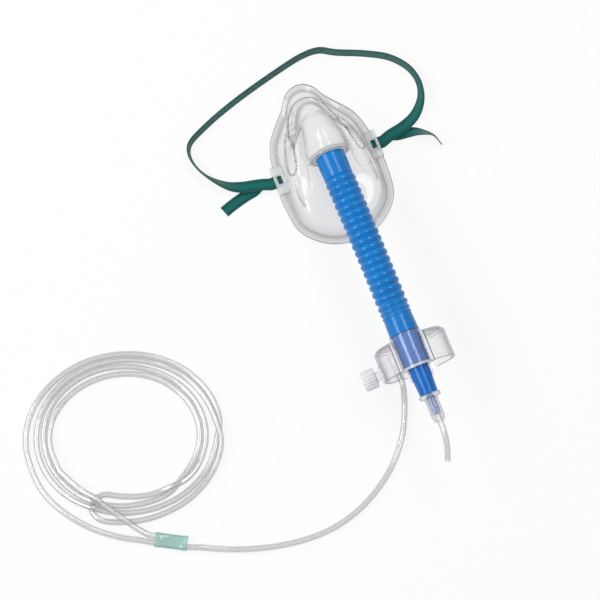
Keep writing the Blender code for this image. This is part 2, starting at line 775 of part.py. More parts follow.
def cut_vent_holes(mask, side, word, port, parent):
    """Cuts the row of small holes down the middle of one vent recess."""
    top, bottom = vent_line(side, port)
    for k in range(VENT_HOLES):
        place = top.lerp(bottom, (k + 0.5) / VENT_HOLES)
        low, high = place.copy(), place.copy()
        low.z, high.z = 0.4 * MASK_CHEEK_DEPTH, 2 * MASK_CHEEK_DEPTH
        cutter = rod(f"{word} vent hole {k + 1}", VENT_HOLE_RADIUS, low, high, parent, segments=8)
        combine(mask, cutter, "DIFFERENCE")


def lug_loop(side, port):
    """The strap round one lug's bar, from its lower layer to its upper one."""
    y, bar_z, half = port.y + LUG_FROM_PORT, lug_bar_z(), strap_loop_half_height()
    outside = lug_edge() + 1.2 * MM
    stations = [(side * outside, y, bar_z - half, 0.0)]
    turns = 8
    for k in range(turns + 1):
        angle = math.pi * k / turns
        x = lug_bar_x() - LUG_BAR / 2 - half * math.sin(angle)
        stations.append((side * x, y, bar_z - half * math.cos(angle), 0.0))
    stations.append((side * outside, y, bar_z + half, 0.0))
    return stations


def sewn_patch(side, port, layer):
    """One layer of the sewn patch beside a lug, from the lug outward; layer is -1 low or 1 high."""
    y = port.y + LUG_FROM_PORT
    z = lug_bar_z() + layer * (STRAP_THICKNESS + FIT_GAP) / 2
    near, far = lug_edge() + 4 * MM, lug_edge() + STRAP_PATCH_LENGTH
    return [(side * near, y, z, 0.0), (side * far, y + STRAP_PATCH_SKEW, z, 0.0)]


def strap_stations(port):
    """The strap's middle line as (x, y, z, twist in degrees), from the left tail to the right one."""

    def placed(route):
        return [(x * MM, port.y + y * MM, z * MM, *twist) for x, y, z, *twist in route]

    def tail(route):
        return [(*place, 0.0) for place in placed(route)]

    return [
        *tail(LEFT_TAIL),
        *sewn_patch(-1, port, -1)[::-1],
        *lug_loop(-1, port),
        *sewn_patch(-1, port, 1),
        *placed(HEAD_LOOP),
        *sewn_patch(1, port, 1)[::-1],
        *lug_loop(1, port)[::-1],
        *sewn_patch(1, port, -1),
        *tail(RIGHT_TAIL),
    ]


def make_strap(port, parent):
    """The head strap: one elastic band, looped round both lugs, with a free tail at each end."""
    points = smooth_points(strap_stations(port), 2)
    rings = []
    wide = Vector((0, 1, 0))
    last = len(points) - 1
    for k, (x, y, z, twist) in enumerate(points):
        run = Vector(points[min(k + 1, last)][:3]) - Vector(points[max(k - 1, 0)][:3])
        along = run.normalized()
        heading = Vector((along.x, along.y, 0))
        if heading.length > 0.5:
            lean = math.radians(twist)
            left = Vector((-heading.y, heading.x, 0)).normalized()
            found = left * math.cos(lean) + Vector((0, 0, math.sin(lean)))
            wide = found if found.dot(wide) > 0 else -found
        wide = (wide - along * wide.dot(along)).normalized()
        half_width = wide * STRAP_WIDTH / 2
        half_thickness = along.cross(wide) * STRAP_THICKNESS / 2
        middle = Vector((x, y, z))
        corners = ((1, 1), (1, -1), (-1, -1), (-1, 1))
        rings.append([middle + a * half_width + b * half_thickness for a, b in corners])
    mesh = mesh_from_rings("head_strap", rings, joined_ends=False)
    return add_object("head_strap", mesh, GREEN_STRAP, parent)


def make_hood(frame):
    """The clear entrainment hood: a round cup with a sleeve through its wall and a side port."""
    axis = -SLEEVE_OFFSET
    inside = HOOD_RADIUS - HOOD_WALL
    profile = (
        (0, HOOD_LENGTH),
        (HOOD_RADIUS - HOOD_CHAMFER, HOOD_LENGTH),
        (HOOD_RADIUS, HOOD_LENGTH - HOOD_CHAMFER),
        (HOOD_RADIUS, 0),
        (inside, 0),
        (inside, HOOD_LENGTH - HOOD_CHAMFER - HOOD_WALL / 2),
        (HOOD_RADIUS - HOOD_CHAMFER - HOOD_WALL / 2, HOOD_LENGTH - HOOD_WALL),
        (0, HOOD_LENGTH - HOOD_WALL),
    )
    hood = along_y(turned("entrainment_hood", profile, CLEAR_HARD, frame, HOOD_SEGMENTS), (0, 0, axis))
    bore = BARREL_RADIUS + FIT_GAP
    outer, top = bore + SLEEVE_WALL, HOOD_LENGTH + SLEEVE_PROUD
    combine(hood, rod("sleeve", outer, (0, 0, 0), (0, top, 0), frame), "UNION")
    for side, word in ((-1, "left"), (1, "right")):
        near, far = side * (bore + SLEEVE_WALL / 3), side * (bore + SLEEVE_WALL / 3 + SLEEVE_RIB_THICKNESS)
        rib = block(
            f"{word} sleeve rib",
            (min(near, far), 0.4 * MM, -4 * MM),
            (max(near, far), HOOD_LENGTH - 0.4 * MM, SLEEVE_RIB_RISE),
            frame,
        )
        combine(hood, rib, "UNION")
        near = side * (LOWER_TUBE_RADIUS + FIT_GAP)
        far = near + side * GRIP_FIN_THICKNESS
        fin = block(
            f"{word} grip fin",
            (min(near, far), -GRIP_FIN_LENGTH, -GRIP_FIN_WIDTH / 2),
            (max(near, far), SLEEVE_FLOOR / 2, GRIP_FIN_WIDTH / 2),
            frame,
        )
        combine(hood, fin, "UNION")
    along = SIDE_PORT_FROM_MOUTH
    boss_start = -(inside - HOOD_WALL / 2)
    boss_end, neck_end = -HOOD_RADIUS - SIDE_BOSS_RISE, -HOOD_RADIUS - SIDE_PORT_LENGTH

    def side_rod(name, radius, start, end):
        return rod(name, radius, (start, along, axis), (end, along, axis), frame)

    combine(hood, side_rod("side boss", SIDE_BOSS_RADIUS, boss_start, boss_end), "UNION")
    combine(hood, side_rod("side neck", SIDE_PORT_RADIUS, boss_start - HOOD_WALL, neck_end), "UNION")
    combine(hood, side_rod("side bore", SIDE_PORT_BORE, 0.5 * boss_start, 2 * neck_end), "DIFFERENCE")
    combine(hood, rod("barrel bore", bore, (0, SLEEVE_FLOOR, 0), (0, 2 * top, 0), frame), "DIFFERENCE")
    fin_bore = LOWER_TUBE_RADIUS + FIT_GAP
    fin_end = -2 * GRIP_FIN_LENGTH
    floor_hole = rod("floor hole", fin_bore, (0, fin_end, 0), (0, 2 * SLEEVE_FLOOR, 0), frame)
    combine(hood, floor_hole, "DIFFERENCE")
    middle = HOOD_LENGTH / 2
    half_width, half_length = SLEEVE_WINDOW_WIDTH / 2, SLEEVE_WINDOW_LENGTH / 2
    window = block(
        "sleeve window",
        (-half_width, middle - half_length, -outer - 2 * MM),
        (half_width, middle + half_length, -0.3 * bore),
        frame,
    )
    combine(hood, window, "DIFFERENCE")
    return hood


def make_cap(frame):
    """The knurled cap that turns on the hood's side port, with its origin on the hood's axis."""
    start = HOOD_RADIUS + CAP_STANDOFF
    end = start + CAP_LENGTH
    socket = SIDE_PORT_RADIUS + FIT_GAP
    floor = HOOD_RADIUS + SIDE_PORT_LENGTH + FIT_GAP

    def ring(along, radius, depth):
        """Points round the cap at a distance from the hood's axis, with a groove between knurls."""
        count = 3 * CAP_KNURLS
        reaches = [radius - (depth if k % 3 == 2 else 0) for k in range(count)]
        turns = [2 * math.pi * k / count for k in range(count)]
        return [Vector((-along, r * math.cos(a), r * math.sin(a))) for r, a in zip(reaches, turns)]

    rings = [
        ring(start, socket, 0),
        ring(start, CAP_RADIUS - CAP_CHAMFER, 0),
        ring(start + CAP_CHAMFER / 2, CAP_RADIUS, CAP_KNURL_DEPTH),
        ring(end - CAP_CHAMFER, CAP_RADIUS, CAP_KNURL_DEPTH),
        ring(end, CAP_RADIUS - CAP_CHAMFER, 0),
    ]
    bm = bmesh.new()
    rows = [[bm.verts.new(point) for point in points] for points in [*rings, ring(floor, socket, 0)]]
    order = [rows[5], *rows[:5]]
    for low, high in zip(order, order[1:]):
        for k in range(len(low)):
            after = (k + 1) % len(low)
            bm.faces.new((low[k], low[after], high[after], high[k]))
    bm.faces.new(rows[5])
    bm.faces.new(rows[4])
    bmesh.ops.recalc_face_normals(bm, faces=bm.faces)
    mesh = bpy.data.meshes.new("hood_port_cap")
    bm.to_mesh(mesh)
    bm.free()
    shade(mesh)
    cap = add_object("hood_port_cap", mesh, CLEAR_HARD, frame)
    cap.location = (0, SIDE_PORT_FROM_MOUTH, -SLEEVE_OFFSET)
    return cap


def nozzle_profile(tube_end):
    """Outline of the barbed nozzle, from the end of the lower tube down to its tip."""
    step = NOZZLE_LENGTH / (BARBS + 1)
    points = [(NOZZLE_RADIUS, tube_end)]
    for k in range(BARBS):
        top = tube_end - (k + 0.6) * step
        points += [(NOZZLE_RADIUS, top), (NOZZLE_RADIUS + BARB_HEIGHT, top - 0.3 * MM)]
        points.append((NOZZLE_RADIUS, top - 0.75 * step))
    points.append((NOZZLE_RADIUS - 0.4 * MM, tube_end - NOZZLE_LENGTH))
    return points


def make_diluter(parent):
    """The blue diluter: a barrel in the hood's sleeve, a spigot for the hose and a barbed nozzle."""
    place = hood_sleeve_place()
    spigot = SPIGOT_RADIUS
    shoulder = HOOD_LENGTH + SLEEVE_PROUD
    seat = SLEEVE_FLOOR + FIT_GAP
    top = shoulder + DILUTER_SPIGOT_LENGTH
    tube_end = -LOWER_TUBE_LENGTH
    tip = tube_end - NOZZLE_LENGTH
    tube_bore = LOWER_TUBE_END_RADIUS - BARREL_WALL
    profile = [
        (spigot, top),
        (spigot, shoulder),
        (BARREL_RADIUS, shoulder),
        (BARREL_RADIUS, seat),
        (LOWER_TUBE_RADIUS, seat),
        (LOWER_TUBE_RADIUS, -GRIP_FIN_LENGTH),
        (LOWER_TUBE_END_RADIUS, tube_end),
        *nozzle_profile(tube_end),
        (JET_RADIUS, tip),
        (JET_RADIUS, tube_end + BARREL_WALL),
        (tube_bore, tube_end + BARREL_WALL),
        (tube_bore, seat + BARREL_WALL),
        (spigot - BARREL_WALL, seat + 2 * BARREL_WALL),
        (spigot - BARREL_WALL, top),
    ]
    diluter = along_y(turned("venturi_diluter", profile, BLUE_HARD, parent), place)
    half_width, half_length = DILUTER_WINDOW_WIDTH / 2, DILUTER_WINDOW_LENGTH / 2
    middle = place.y + HOOD_LENGTH / 2
    window = block(
        "air window",
        (-half_width, middle - half_length, place.z - 2 * BARREL_RADIUS),
        (half_width, middle + half_length, place.z - 0.4 * BARREL_RADIUS),
        parent,
    )
    combine(diluter, window, "DIFFERENCE")
    return diluter


def connector_top():
    """Distance of the supply connector's flange from the hood's mouth, along the diluter."""
    return -LOWER_TUBE_LENGTH - FIT_GAP


def tube_socket_floor():
    """Distance from the hood's mouth to where the supply tube starts in its connector."""
    return -LOWER_TUBE_LENGTH - NOZZLE_LENGTH - FIT_GAP


def make_connector(parent):
    """The clear supply connector, pushed over the diluter's barbs, with a socket for the tube."""
    top = connector_top()
    end = top - CONNECTOR_LENGTH
    bore = NOZZLE_RADIUS + BARB_HEIGHT + FIT_GAP
    socket = TUBE_RADIUS + FIT_GAP
    floor = tube_socket_floor()
    profile = (
        (CONNECTOR_FLANGE_RADIUS, top),
        (CONNECTOR_FLANGE_RADIUS, top - CONNECTOR_FLANGE_LENGTH),
        (CONNECTOR_RADIUS, top - CONNECTOR_FLANGE_LENGTH - 0.8 * MM),
        (CONNECTOR_RADIUS, end + CONNECTOR_TIP_LENGTH),
        (CONNECTOR_END_RADIUS, end + CONNECTOR_TIP_LENGTH),
        (CONNECTOR_END_RADIUS, end),
        (socket, end),
        (socket, floor),
        (bore, floor),
        (bore, top),
    )
    return along_y(turned("supply_connector", profile, CLEAR_HARD, parent), hood_sleeve_place())


def end_fitting_place():
    """Tail of the clear end fitting, which rests on the inside of the hood's round wall."""
    centre_x = SLEEVE_OFFSET * math.sin(HOOD_LEAN)
    reach = HOOD_RADIUS - HOOD_WALL - END_FITTING_RADIUS - FIT_GAP
    drop = math.sqrt(reach**2 - (END_FITTING_X - centre_x) ** 2)
    return Vector((END_FITTING_X, HOOD_MOUTH_Y + END_FITTING_TAIL_FROM_MOUTH, HOOD_RADIUS - drop))


def make_end_fitting(parent):
    """The clear soft connector on the end of the long tubing, lying in the hood."""
    socket = TUBE_RADIUS + FIT_GAP
    depth = TUBE_ENGAGEMENT + FIT_GAP
    profile = (
        (END_FITTING_RADIUS - 0.9 * MM, END_FITTING_LENGTH),
        (END_FITTING_RADIUS, END_FITTING_LENGTH - 2 * MM),
        (END_FITTING_RADIUS, 0.8 * MM),
        (END_FITTING_RADIUS - 0.6 * MM, 0),
        (socket, 0),
        (socket, depth),
        (TUBE_BORE_RADIUS, depth),
        (TUBE_BORE_RADIUS, END_FITTING_LENGTH / 2),
        (socket, END_FITTING_LENGTH / 2 + 1 * MM),
        (socket, END_FITTING_LENGTH),
    )
    fitting = turned("tubing_end_connector", profile, CLEAR_HARD, parent, segments=20)
    return along_y(fitting, end_fitting_place())


def make_tube(name, route, parent):
    """One stretch of tubing along points in metres, as a bevelled curve with closed ends."""
    points = smooth_points([tuple(point) for point in route], 2)
    curve = bpy.data.curves.new(name, "CURVE")
    curve.dimensions = "3D"
    curve.bevel_depth = TUBE_RADIUS
    curve.bevel_resolution = 2
    curve.use_fill_caps = True
    spline = curve.splines.new("POLY")
    spline.points.add(len(points) - 1)
    for place, point in zip(points, spline.points):
        point.co = (*place, 1)
    spline.use_smooth = True
    return add_object(name, curve, CLEAR_TUBE, parent)


def in_metres(route):
    """A route's points in metres."""
    return [Vector(point) * MM for point in route]


def strand_in_sleeve(side, start):
    """Places of one strand in the green sleeve; side is -1 outer or 1 inner, start a share of its half."""
    along = Vector((math.cos(TUBE_SLEEVE_TURN), math.sin(TUBE_SLEEVE_TURN), 0))
    across = Vector((-along.y, along.x, 0)) * side * (TUBE_RADIUS + FIT_GAP / 2)
    height = Vector((0, 0, tube_sleeve_height() / 2))
    middle = TUBE_SLEEVE_CENTRE + across + height
    reach = along * TUBE_SLEEVE_LENGTH / 2
    return [middle + start * reach, middle, middle - 1.15 * reach]


def tube_sleeve_height():
    """Outer height of the green sleeve."""
    return 2 * (TUBE_RADIUS + FIT_GAP + TUBE_SLEEVE_WALL)


def make_tubing(parent):
    """The supply stub, the long lead with its lower strand, and the strand that returns to the coil."""
    sleeve_place = hood_sleeve_place()
    socket = sleeve_place + Vector((0, tube_socket_floor(), 0))
    stub = [sleeve_place + place for place in in_metres(STUB_ROUTE)]
    tail = end_fitting_place()
    start = tail + Vector((0, TUBE_ENGAGEMENT, 0))
    lead = [start, tail, *in_metres(LEAD_ROUTE), *strand_in_sleeve(-1, 1.15), *in_metres(LOWER_STRAND)]
    back = [*strand_in_sleeve(1, 0.7), *in_metres(UPPER_STRAND)]
    return [
        make_tube("supply_tube_stub", [socket, *stub], parent),
        make_tube("tubing_lead", lead, parent),
        make_tube("tubing_return", back, parent),
    ]


def make_coil(parent):
    """Outer shape of the coiled tubing: an oval ring of about four turns."""
    rings = []
    spin = Matrix.Rotation(COIL_TURN, 3, "Z")
    for k in range(COIL_COLUMNS):
        angle = 2 * math.pi * k / COIL_COLUMNS
        middle = Vector((COIL_HALF_WIDTH * math.cos(angle), COIL_HALF_DEPTH * math.sin(angle), 0))
        out = Vector((COIL_HALF_DEPTH * math.cos(angle), COIL_HALF_WIDTH * math.sin(angle), 0)).normalized()
        ring = []
        for j in range(COIL_SECTION_POINTS):
            turn = 2 * math.pi * j / COIL_SECTION_POINTS
            reach = COIL_BUNDLE_WIDTH / 2 * math.copysign(abs(math.cos(turn)) ** 0.7, math.cos(turn))
            rise = COIL_BUNDLE_HEIGHT / 2 * (1 + math.copysign(abs(math.sin(turn)) ** 0.7, math.sin(turn)))
            ring.append(COIL_CENTRE + spin @ (middle + out * reach) + Vector((0, 0, rise)))
        rings.append(ring)
    mesh = mesh_from_rings("tubing_coil", rings, joined_ends=True)
    return add_object("tubing_coil", mesh, CLEAR_TUBE, parent)


def make_tube_sleeve(parent):
    """The green sleeve round both strands: a short flat-sided tube."""
    spin = Matrix.Rotation(TUBE_SLEEVE_TURN, 3, "Z")
    height = tube_sleeve_height()

    def ring(along, radius):
        """A stadium round both strands."""
        points = []
        for side in (1, -1):
            for k in range(7):
                turn = math.pi * k / 6 - math.pi / 2
                y = side * (TUBE_RADIUS + FIT_GAP / 2 + radius * math.cos(turn))
                place = Vector((along, y, height / 2 + side * radius * math.sin(turn)))
                points.append(TUBE_SLEEVE_CENTRE + spin @ place)
        return points

    inner, half = TUBE_RADIUS + FIT_GAP, TUBE_SLEEVE_LENGTH / 2
    outer = inner + TUBE_SLEEVE_WALL
    rings = [ring(-half, inner), ring(-half, outer), ring(half, outer), ring(half, inner)]
    mesh = mesh_from_rings("tubing_sleeve", rings, joined_ends=True)
    return add_object("tubing_sleeve", mesh, GREEN_CLEAR, parent)


def stand_on_origin(root, pieces):
    """Moves everything so that the origin is at the bottom centre of the box round the pieces."""
    bpy.context.view_layer.update()
    graph = bpy.context.evaluated_depsgraph_get()
    places = []
    for piece in pieces:
        solid = piece.evaluated_get(graph)
        places += [solid.matrix_world @ vertex.co for vertex in solid.to_mesh().vertices]
        solid.to_mesh_clear()
    low, high = ([limit(place[c] for place in places) for c in range(3)] for limit in (min, max))
    root.location = (-(low[0] + high[0]) / 2, -(low[1] + high[1]) / 2, -low[2])


def main():
    """Builds the whole part."""
    for obj in list(bpy.data.objects):
        bpy.data.objects.remove(obj, do_unlink=True)
    root = add_empty("oxygen mask")
    hood_frame = add_empty("hood frame", root)
    hood_frame.location = hood_sleeve_place()
    hood_frame.rotation_euler = (0, -HOOD_LEAN, 0)
    line = hose_line()
    form = MaskForm(line)
    pieces = [
        make_mask(form, root),
        make_strap(form.port, root),
        make_hose(line, root),
        make_hood(hood_frame),
        make_cap(hood_frame),
        make_diluter(root),
        make_connector(root),
    ]
    make_end_fitting(root)
    make_tubing(root)
    make_coil(root)
    make_tube_sleeve(root)
    stand_on_origin(root, pieces)


main()
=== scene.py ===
"""Dresses the oxygen mask: clear soft shell, elastic head band, blue hose, clear hood and coiled tubing.

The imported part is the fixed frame. Sizes are in metres. Routes are in millimetres in the layout that the part
was drawn in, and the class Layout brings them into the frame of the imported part.
"""

import json
import logging
import math
from collections.abc import Callable, Sequence
from dataclasses import dataclass, field, replace
from enum import Enum

import bpy
import numpy as np
from mathutils import Matrix, Vector


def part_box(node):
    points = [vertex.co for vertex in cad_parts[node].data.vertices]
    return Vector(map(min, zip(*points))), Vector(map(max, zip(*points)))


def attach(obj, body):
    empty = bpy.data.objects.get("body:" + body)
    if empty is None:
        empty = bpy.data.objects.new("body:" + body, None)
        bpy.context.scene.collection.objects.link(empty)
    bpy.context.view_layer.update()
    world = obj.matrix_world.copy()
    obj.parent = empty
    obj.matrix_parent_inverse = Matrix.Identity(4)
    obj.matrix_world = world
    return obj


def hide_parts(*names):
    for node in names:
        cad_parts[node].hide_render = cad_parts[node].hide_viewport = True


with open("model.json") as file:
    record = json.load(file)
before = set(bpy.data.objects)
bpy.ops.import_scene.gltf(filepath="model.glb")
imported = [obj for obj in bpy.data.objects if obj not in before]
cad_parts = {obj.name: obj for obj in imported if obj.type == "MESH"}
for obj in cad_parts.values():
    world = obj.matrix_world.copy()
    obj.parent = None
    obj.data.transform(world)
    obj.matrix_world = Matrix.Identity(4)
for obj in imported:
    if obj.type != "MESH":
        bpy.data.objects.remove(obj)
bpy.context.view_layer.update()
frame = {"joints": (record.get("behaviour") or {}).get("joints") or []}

LOG = logging.getLogger("oxygen_mask")
MM = 0.001
FIT_GAP = 0.3 * MM
WELD = 0.002 * MM
TIP_RADIUS = 0.01 * MM

# Sizes that several classes share
LEAN = math.radians(9)
HOOD_RADIUS = 34.5 * MM
HOOD_LENGTH = 30 * MM
HOOD_MOUTH = -3 * MM
HOOD_CHAMFER = 3 * MM
SLEEVE_OFFSET = 25 * MM
SIDE_PORT_ALONG = 9 * MM
BARREL_RADIUS = 12.5 * MM
SHOULDER = 33 * MM
SPIGOT_RADIUS = 10.7 * MM
SPIGOT_LENGTH = 14 * MM
LOWER_TUBE_RADIUS = 9.35 * MM
FIN_LENGTH = 11 * MM

# The mask's attribute that carries painted shade along its edges, and the sockets of a Mix node that mixes
# colours
PAINTED_SHADE_ATTRIBUTE = "fold"
COLOUR_A, COLOUR_B, COLOUR_OUT = 6, 7, 2

Piece = bpy.types.Object
Material = bpy.types.Material
Colour = tuple[float, float, float]
Outline = Sequence[tuple[float, float]]
Route = Sequence[tuple[float, ...]]


class Body(Enum):
    """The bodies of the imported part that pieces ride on."""

    SET = "mask_set"
    CAP = "cap"


class Slot(Enum):
    """The record's finishes."""

    SOFT_CLEAR = "clear_pvc"
    HARD_CLEAR = "clear_hard"
    TUBING = "clear_tubing"
    HOSE = "blue_hose"
    MOULDED = "blue_moulded"
    ELASTIC = "green_elastic"
    GREEN_CLEAR = "green_clear"


class Half(Enum):
    """The two sides of the mask."""

    LEFT = -1
    RIGHT = 1


def ease(share: float | np.ndarray) -> float | np.ndarray:
    """Rises smoothly from 0 to 1 as the share goes from 0 to 1, and stays level outside."""
    share = np.clip(share, 0.0, 1.0)
    return share * share * (3 - 2 * share)


def mix(low: float, high: float, share: float) -> float:
    """Gives the value that lies the given share of the way from low to high."""
    return low + (high - low) * share


def smooth_points(route: Route, steps: int) -> list[tuple[float, ...]]:
    """Reads points from one smooth curve through a route's points.

    Args:
        route: Points of equal size.
        steps: Points read from each stretch of the route.

    Returns:
        The points, ending on the route's last one.
    """
    points = np.array([tuple(point) for point in route], float)
    padded = np.vstack([2 * points[0] - points[1], points, 2 * points[-1] - points[-2]])
    found = []
    for before, start, end, after in zip(padded, padded[1:], padded[2:], padded[3:]):
        for t in np.arange(steps) / steps:
            bend = 2 * before - 5 * start + 4 * end - after
            twist = 3 * start - before - 3 * end + after
            place = 0.5 * (2 * start + (end - before) * t + bend * t**2 + twist * t**3)
            found.append(tuple(place.tolist()))
    found.append(tuple(points[-1].tolist()))
    return found


def even_points(points: np.ndarray, spacing: float) -> np.ndarray:
    """Reads points at an even distance along a chain of points.

    Args:
        points: The chain, one row a point.
        spacing: Distance between the points that are read, nearly.

    Returns:
        The even points, with the chain's own two ends.
    """
    steps = np.linalg.norm(np.diff(points, axis=0), axis=1)
    along = np.concatenate([[0.0], np.cumsum(steps)])
    count = max(2, round(along[-1] / spacing) + 1)
    wanted = np.linspace(0, along[-1], count)
    return np.stack([np.interp(wanted, along, points[:, c]) for c in range(3)], axis=1)


def length_of(points: np.ndarray) -> float:
    """Measures a chain of points."""
    return float(np.linalg.norm(np.diff(points, axis=0), axis=1).sum())


def bell(distance: np.ndarray, reach: float) -> np.ndarray:
    """Falls smoothly from 1 at no distance to about a third at the reach."""
    return np.exp(-((distance / reach) ** 2))


@dataclass(frozen=True)
class Layout:
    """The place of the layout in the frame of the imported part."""

    origin: Vector

    def place(self, x: float, y: float, z: float) -> Vector:
        """Brings one place in metres from the layout into the frame."""
        return self.origin + Vector((x, y, z))

    def route(self, route: Route, start: Vector | None = None) -> list[Vector]:
        """Brings a route in millimetres into the frame.

        Args:
            route: Points (x, y, z) in millimetres.
            start: Where the route counts from, or None for the layout's origin.

        Returns:
            The points in metres.
        """
        return [(start or self.origin) + Vector(point[:3]) * MM for point in route]


def deselect() -> None:
    """Deselects every object, so that an operator acts on the next one alone."""
    bpy.ops.object.select_all(action="DESELECT")


def choose(obj: Piece) -> Piece:
    """Makes one object the only selected and active one."""
    deselect()
    obj.select_set(True)
    bpy.context.view_layer.objects.active = obj
    return obj


def apply_modifier(obj: Piece, kind: str, **settings: object) -> None:
    """Adds a modifier with its settings and applies it to the mesh."""
    choose(obj)
    modifier = obj.modifiers.new(kind.title(), kind)
    for name, value in settings.items():
        setattr(modifier, name, value)
    bpy.ops.object.modifier_apply(modifier=modifier.name)


def smooth_shade(obj: Piece, degrees: float = 35) -> None:
    """Shades a piece smooth, apart from edges that turn further than the angle."""
    choose(obj)
    bpy.ops.object.shade_smooth_by_angle(angle=math.radians(degrees))


def at_origin(obj: Piece, matrix: Matrix | None = None) -> Piece:
    """Puts the object's place into its mesh, after an optional further move."""
    choose(obj)
    obj.matrix_world = (matrix or Matrix.Identity(4)) @ obj.matrix_world
    bpy.ops.object.transform_apply(location=True, rotation=True, scale=True)
    return obj


def join(target: Piece, other: Piece, operation: str = "UNION") -> None:
    """Joins another object to a piece, and removes the other object."""
    apply_modifier(target, "BOOLEAN", operation=operation, object=other, solver="MANIFOLD")
    bpy.data.objects.remove(other, do_unlink=True)


def cut(target: Piece, other: Piece) -> None:
    """Cuts another object from a piece, and removes the other object."""
    join(target, other, "DIFFERENCE")


def softened(outline: Outline, radius: float, closed: bool = True) -> list[tuple[float, float]]:
    """Rounds the corners of an outline.

    Args:
        outline: Its corners.
        radius: How far from a corner the rounding starts, at most.
        closed: Whether the last corner runs on to the first; the two ends of an open outline stay sharp.

    Returns:
        The rounded outline.
    """
    corners = [Vector(point) for point in outline]
    found = []
    for k, corner in enumerate(corners):
        if not closed and k in (0, len(corners) - 1):
            found.append(tuple(corner))
            continue
        before, after = corners[k - 1] - corner, corners[(k + 1) % len(corners)] - corner
        start = corner + before.normalized() * min(radius, 0.45 * before.length)
        end = corner + after.normalized() * min(radius, 0.45 * after.length)
        for share in (0, 0.25, 0.5, 0.75, 1):
            found.append(tuple(start.lerp(corner, share).lerp(corner.lerp(end, share), share)))
    return found


def turned(name: str, outline: Outline, segments: int, matrix: Matrix) -> Piece:
    """Turns an outline round the Z axis by extruding and scaling a circle, then puts it in place.

    Args:
        name: Name of the new object.
        outline: Points (radius, distance along the axis). One that ends at radius 0 is closed at both ends,
            and any other runs round a wall and joins its own start.
        segments: Points round the axis.
        matrix: Place of the piece's axis in the frame.

    Returns:
        The object, with its place in its mesh.
    """
    deselect()
    radius, along = outline[0]
    bpy.ops.mesh.primitive_circle_add(vertices=segments, radius=radius, location=(0, 0, along))
    obj = bpy.context.object
    obj.name = obj.data.name = name
    closed = outline[-1][0] == 0
    bpy.ops.object.mode_set(mode="EDIT")
    bpy.ops.mesh.select_mode(type="EDGE")
    bpy.ops.mesh.select_all(action="SELECT")
    for reach, distance in outline[1:] if closed else [*outline[1:], outline[0]]:
        reach = max(reach, TIP_RADIUS)
        scale = reach / radius
        bpy.ops.mesh.extrude_region_move(TRANSFORM_OT_translate={"value": (0, 0, distance - along)})
        bpy.ops.transform.resize(value=(scale, scale, 1), center_override=(0, 0, distance))
        radius, along = reach, distance
    if closed:
        bpy.ops.mesh.merge(type="CENTER")
        bpy.ops.mesh.select_all(action="DESELECT")
        bpy.ops.mesh.select_non_manifold()
        bpy.ops.mesh.edge_face_add()
    bpy.ops.mesh.select_all(action="SELECT")
    bpy.ops.mesh.remove_doubles(threshold=WELD)
    bpy.ops.mesh.normals_make_consistent(inside=False)
    bpy.ops.object.mode_set(mode="OBJECT")
    at_origin(obj, matrix)
    smooth_shade(obj)
    return obj


def rod(radius: float, start: Vector, end: Vector, segments: int = 48) -> Piece:
    """Adds a plain round bar between two places, for joining to or cutting from a piece."""
    run = end - start
    deselect()
    bpy.ops.mesh.primitive_cylinder_add(
        vertices=segments,
        radius=radius,
        depth=run.length,
        location=(start + end) / 2,
        rotation=Vector((0, 0, 1)).rotation_difference(run).to_euler(),
    )
    return at_origin(bpy.context.object)


def block(x: Sequence[float], y: Sequence[float], z: Sequence[float], rounding: float = 0.0) -> Piece:
    """Adds a block between two places along each axis, for joining to or cutting from a piece.

    Args:
        x: Its two ends along X, in either order.
        y: Its two ends along Y.
        z: Its two ends along Z.
        rounding: Radius of its edges.

    Returns:
        The block.
    """
    low, high = (Vector(corner) for corner in zip(sorted(x), sorted(y), sorted(z)))
    deselect()
    bpy.ops.mesh.primitive_cube_add(size=1, location=(low + high) / 2, scale=high - low)
    obj = at_origin(bpy.context.object)
    if rounding:
        bpy.ops.object.mode_set(mode="EDIT")
        bpy.ops.mesh.select_all(action="SELECT")
        bpy.ops.mesh.bevel(offset=rounding, segments=3, affect="EDGES")
        bpy.ops.object.mode_set(mode="OBJECT")
    return obj


def lofted(name: str, rings: Sequence[Sequence[Vector]], joined: bool, uv: Callable | None = None) -> Piece:
    """Bridges closed rings of points, and either joins the last to the first or caps both ends.

    Args:
        name: Name of the new object.
        rings: Rings with the same number of points.
        joined: Whether the last ring is joined to the first.
        uv: Gives the (u, v) of a ring's number and a point's number, or None for no UV map.

    Returns:
        The new object, with its faces pointing outward.
    """
    count, total = len(rings[0]), len(rings)
    points = [tuple(point) for ring in rings for point in ring]
    faces, corners = [], []
    for low in range(total if joined else total - 1):
        high = (low + 1) % total
        for k in range(count):
            after = (k + 1) % count
            faces.append((low * count + k, low * count + after, high * count + after, high * count + k))
            corners += [(low, k), (low, k + 1), (low + 1, k + 1), (low + 1, k)]
    if not joined:
        for ring, turn in ((0, -1), (total - 1, 1)):
            order = list(range(count))[::turn]
            faces.append(tuple(ring * count + k for k in order))
            corners += [(ring, k) for k in order]
    mesh = bpy.data.meshes.new(name)
    mesh.from_pydata(points, [], faces)
    if uv:
        layer = mesh.uv_layers.new(name="band")
        layer.data.foreach_set("uv", [value for corner in corners for value in uv(*corner)])
    obj = bpy.data.objects.new(name, mesh)
    bpy.context.scene.collection.objects.link(obj)
    choose(obj)
    bpy.ops.object.mode_set(mode="EDIT")
    bpy.ops.mesh.select_all(action="SELECT")
    bpy.ops.mesh.normals_make_consistent(inside=False)
    bpy.ops.object.mode_set(mode="OBJECT")
    smooth_shade(obj)
    return obj


